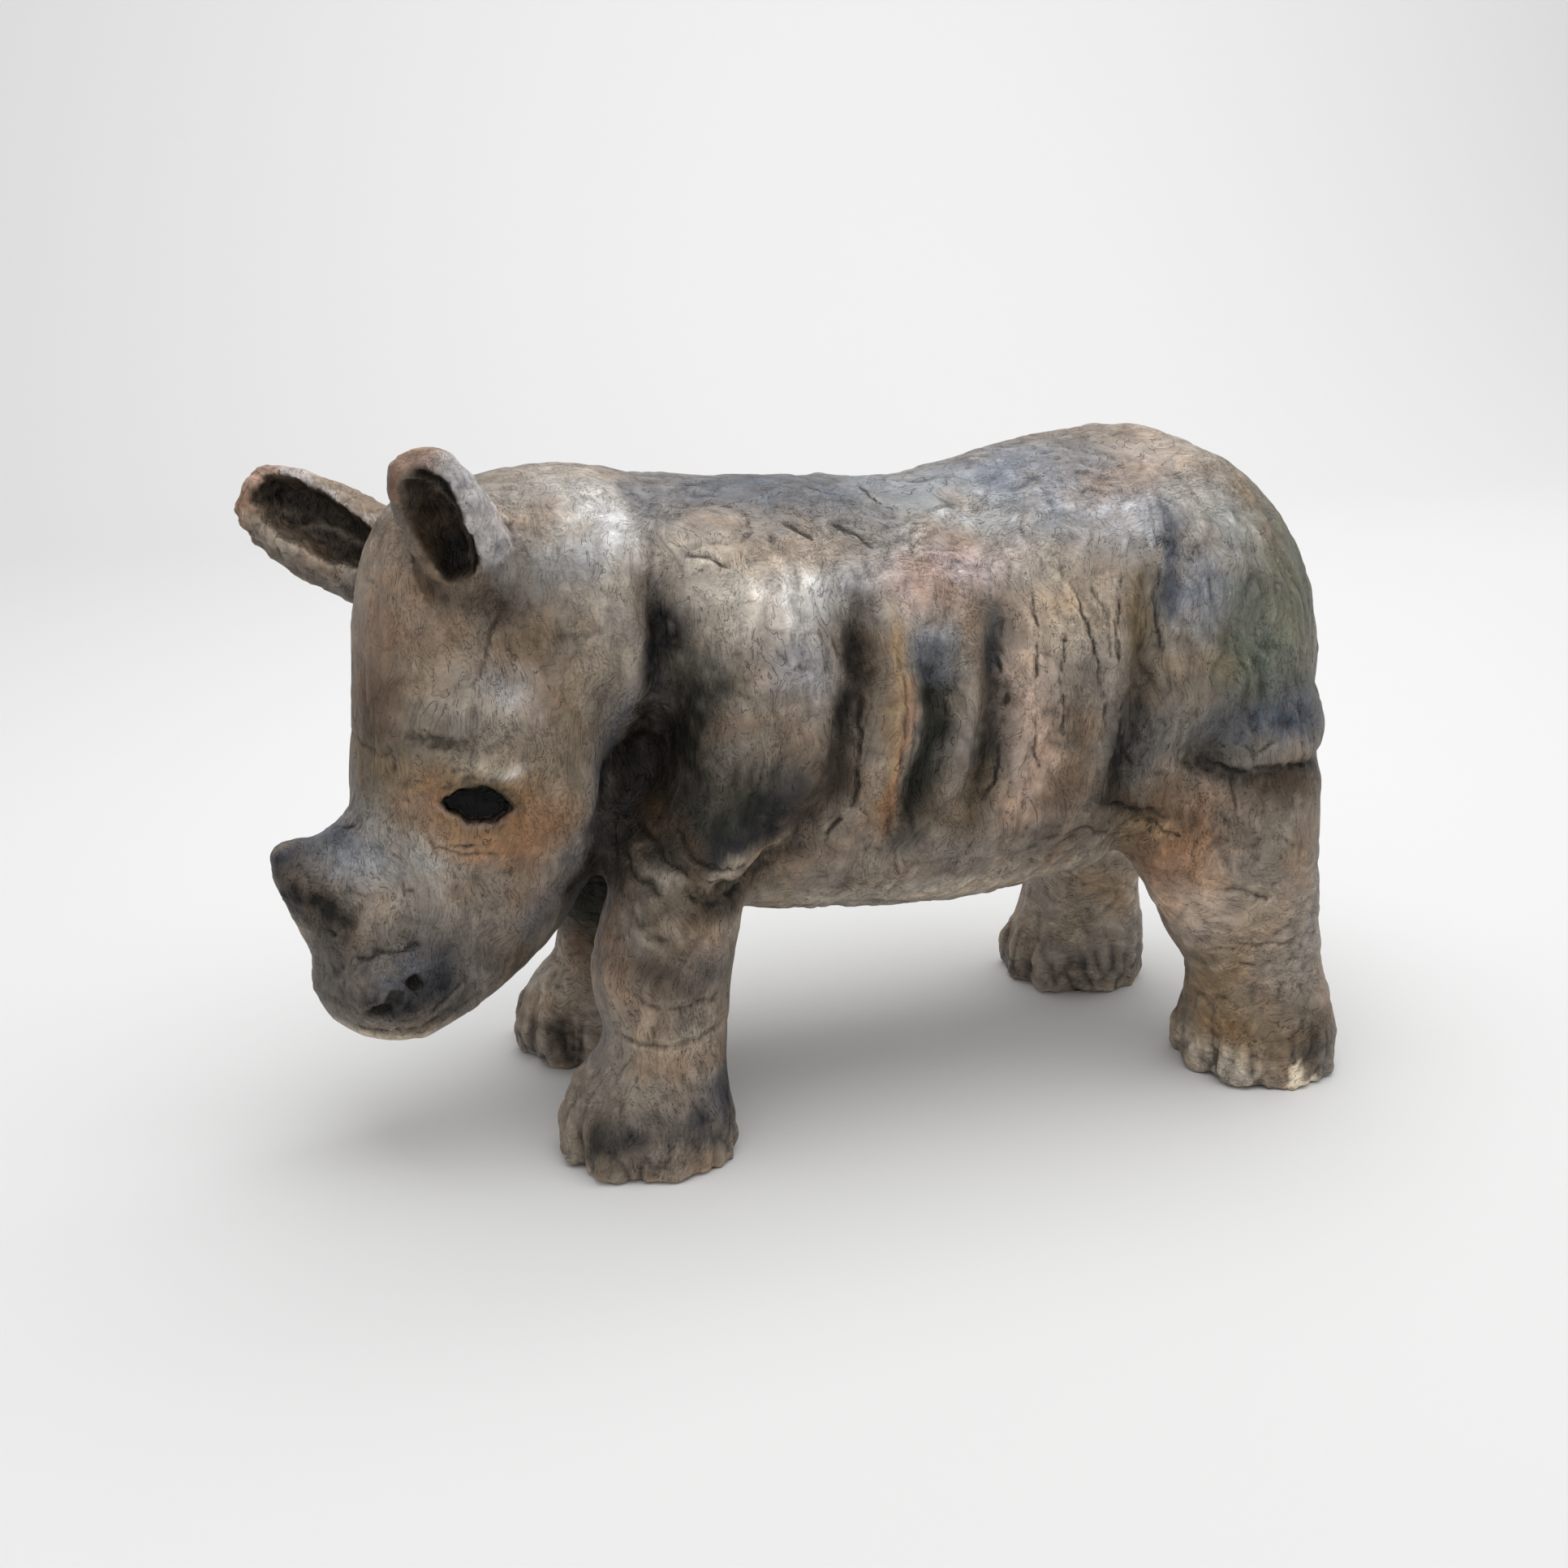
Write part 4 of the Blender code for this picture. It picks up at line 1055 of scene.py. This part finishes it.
def bent_place(tree):
    """The piece's own place, pushed about by soft noise so that stretched patterns flow in curves."""
    place = added(tree, "ShaderNodeTexCoord").outputs["Object"]
    sway = noise(tree, place, 22.0, 2.0, 0.5)
    centred = added(tree, "ShaderNodeVectorMath", operation="SUBTRACT")
    fed(tree, centred.inputs[0], sway.outputs["Color"])
    centred.inputs[1].default_value = (0.5, 0.5, 0.5)
    pushed = added(tree, "ShaderNodeVectorMath", operation="MULTIPLY_ADD")
    fed(tree, pushed.inputs[0], centred.outputs[0])
    pushed.inputs[1].default_value = (SWAY, SWAY, SWAY)
    fed(tree, pushed.inputs[2], place)
    return place, pushed.outputs[0]


def patterns(tree, lie):
    """The paper's patterns: fibres that follow its lie, mottling, fine specks, and a slow drift of hue."""
    place, bent = bent_place(tree)
    group, runs = fibre_group(), []
    for scales in (FIBRES_UPRIGHT, FIBRES_LEVEL):
        run = added(tree, "ShaderNodeGroup", node_tree=group)
        fed(tree, run.inputs["Place"], stretched(tree, bent, scales))
        runs.append(run)
    upright, level = runs
    found = {}
    for name in FIBRE_OUTPUTS:
        found[name] = ramp(tree, lie, 0.0, 1.0, upright.outputs[name], level.outputs[name])
    found["Mottle"] = noise(tree, bent, 62.0, 5.0, 0.6).outputs["Fac"]
    found["Speck"] = noise(tree, place, 520.0, 2.0, 0.6).outputs["Fac"]
    found["Hue"] = noise(tree, place, 24.0, 3.0).outputs["Fac"]
    return found


def shaded(tree, colour, pattern):
    """The colour times each pattern's shade, warmer and cooler where the hue drifts."""
    shades = [ramp(tree, pattern[name], *NOISE_SPAN, *span) for name, span in SHADES.items()]
    value = maths(tree, "MULTIPLY", *shades)
    grey = added(tree, "ShaderNodeCombineColor")
    for socket in grey.inputs[:3]:
        fed(tree, socket, value)
    colour = blend(tree, 1.0, colour, grey.outputs[0], "MULTIPLY")
    for tint, span in ((WARM_TINT, (0.5, 0.72)), (COOL_TINT, (0.5, 0.28))):
        drift = ramp(tree, pattern["Hue"], *span, 0.0, 0.8)
        colour = blend(tree, drift, colour, (*tint, 1), "MULTIPLY")
    return colour


def stained(tree, colour, pattern, dark, eye):
    """Near-black paint in the dark lines and between the fibres, but not in the eyes."""
    ragged = maths(tree, "ADD", dark, ramp(tree, pattern["Speck"], *NOISE_SPAN, -0.16, 0.16))
    fibres = maths(tree, "MULTIPLY", pattern["Lines"], 0.8)
    stain = maths(tree, "MAXIMUM", ramp(tree, ragged, 0.38, 0.7), fibres)
    stain = maths(tree, "MULTIPLY", stain, ramp(tree, eye, 0.0, 1.0, 0.7, 0.0))
    return blend(tree, stain, colour, (*BLACK_BROWN, 1))


def bumped(tree, pattern, eye):
    """The patterns' heights added up, lower in the eyes, as a normal."""
    heights = [maths(tree, "MULTIPLY", pattern[name], height) for name, height in BUMPS.items()]
    height = maths(tree, "MULTIPLY", maths(tree, "ADD", *heights), ramp(tree, eye, 0.0, 1.0, 1.0, 0.35))
    bump = added(tree, "ShaderNodeBump")
    bump.inputs["Strength"].default_value = 0.9
    bump.inputs["Distance"].default_value = 1.0 * MM
    fed(tree, bump.inputs["Height"], height)
    return bump.outputs["Normal"]


def papier_mache():
    """Blended matt paint over pressed paper, with a satin bloom and wet black eyes."""
    paint = bpy.data.materials.new(SLOT)
    paint.use_nodes = True
    tree = paint.node_tree
    shader = tree.nodes["Principled BSDF"]
    laid_on = added(tree, "ShaderNodeAttribute", attribute_name="paint").outputs["Color"]
    marks = added(tree, "ShaderNodeSeparateColor")
    fed(tree, marks.inputs[0], added(tree, "ShaderNodeAttribute", attribute_name="marks").outputs["Color"])
    dark, lie, eye = marks.outputs[:3]
    pattern = patterns(tree, lie)
    colour = stained(tree, shaded(tree, laid_on, pattern), pattern, dark, eye)
    mottled = ramp(tree, pattern["Mottle"], *NOISE_SPAN, 0.42, 0.58)
    satin = maths(tree, "ADD", mottled, ramp(tree, pattern["Grain"], *NOISE_SPAN, -0.05, 0.08))
    fed(tree, shader.inputs["Base Color"], colour)
    fed(tree, shader.inputs["Roughness"], ramp(tree, eye, 0.0, 1.0, satin, 0.22))
    fed(tree, shader.inputs["Metallic"], ramp(tree, eye, 0.0, 1.0, 0.0, 0.4))
    fed(tree, shader.inputs["Normal"], bumped(tree, pattern, eye))
    shader.inputs["IOR"].default_value = 1.45
    shader.inputs["Specular IOR Level"].default_value = 0.25
    return paint


def plain(name, colour, roughness):
    """A plain material."""
    made = bpy.data.materials.new(name)
    made.use_nodes = True
    shader = made.node_tree.nodes["Principled BSDF"]
    shader.inputs["Base Color"].default_value = (*colour, 1)
    shader.inputs["Roughness"].default_value = roughness
    return made


def floor():
    """A pale sheet: flat, then rising behind in a quarter circle and straight up, carried along X."""
    turn, wall = np.linspace(0, np.pi / 2, 24), SHEET_FLAT_TO + SHEET_BEND
    y = np.concatenate([[-SHEET_REACH], SHEET_FLAT_TO + SHEET_BEND * np.sin(turn), [wall]])
    z = np.concatenate([[0], SHEET_BEND * (1 - np.cos(turn)), [SHEET_REACH]])
    rows = [np.column_stack([np.full(len(y), x), y, z]) for x in (-SHEET_HALF_WIDTH, SHEET_HALF_WIDTH)]
    points, count = np.concatenate(rows), len(y)
    faces = [(i, i + count, i + count + 1, i + 1) for i in range(count - 1)]
    mesh = bpy.data.meshes.new("floor")
    mesh.from_pydata(points.tolist(), [], faces)
    mesh.shade_smooth()
    mesh.materials.append(plain("pale floor", SHEET_COLOUR, 0.9))
    piece = bpy.data.objects.new("floor", mesh)
    bpy.context.scene.collection.objects.link(piece)


def lamp(name, place, aim, size, power):
    """A soft square lamp that faces its aim."""
    light = bpy.data.lights.new(name, "AREA")
    light.size = size
    light.energy = power
    piece = bpy.data.objects.new(name, light)
    piece.location = place
    piece.rotation_euler = (Vector(aim) - Vector(place)).to_track_quat("-Z", "Y").to_euler()
    bpy.context.scene.collection.objects.link(piece)


def studio():
    """A bright even room: a wide soft lamp above, a weaker one in front, and one on the sheet behind."""
    world = bpy.data.worlds.new("room")
    world.use_nodes = True
    room = world.node_tree.nodes["Background"]
    room.inputs["Color"].default_value = (*ROOM_COLOUR, 1)
    room.inputs["Strength"].default_value = ROOM_STRENGTH
    bpy.context.scene.world = world
    for name, place, aim, size, power in LAMPS:
        lamp(name, place, aim, size, power)
    bpy.context.scene.view_settings.view_transform = "Standard"


def camera():
    """The photograph's own view."""
    eye = bpy.data.cameras.new("camera")
    eye.lens, eye.sensor_width = CAMERA_LENS, 36.0
    eye.clip_start, eye.clip_end = 0.01, 50
    piece = bpy.data.objects.new("camera", eye)
    azimuth, pitch = np.radians(CAMERA_AZIMUTH), np.radians(CAMERA_PITCH)
    ahead = Vector((-np.sin(azimuth) * np.cos(pitch), np.cos(azimuth) * np.cos(pitch), -np.sin(pitch)))
    piece.location = CAMERA_PLACE
    piece.rotation_euler = ahead.to_track_quat("-Z", "Y").to_euler()
    bpy.context.scene.collection.objects.link(piece)
    bpy.context.scene.camera = piece


def corners(box):
    """A box's two corners as plain lists."""
    return [list(corner) for corner in box]


def main():
    """Dresses the solid in its painted skin, fitted to the solid's box, and stages it."""
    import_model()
    solid_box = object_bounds()
    low, high = corners(solid_box)
    skin = fine_skin(bpy.data.objects[NODE])
    pressed(skin)
    lightened(skin)
    fitted(skin, low, high)
    painted(skin)
    skin.data.materials.clear()
    skin.data.materials.append(papier_mache())
    skin.data.shade_smooth()
    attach(skin, "root")
    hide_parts(NODE)
    floor()
    studio()
    camera()


main()
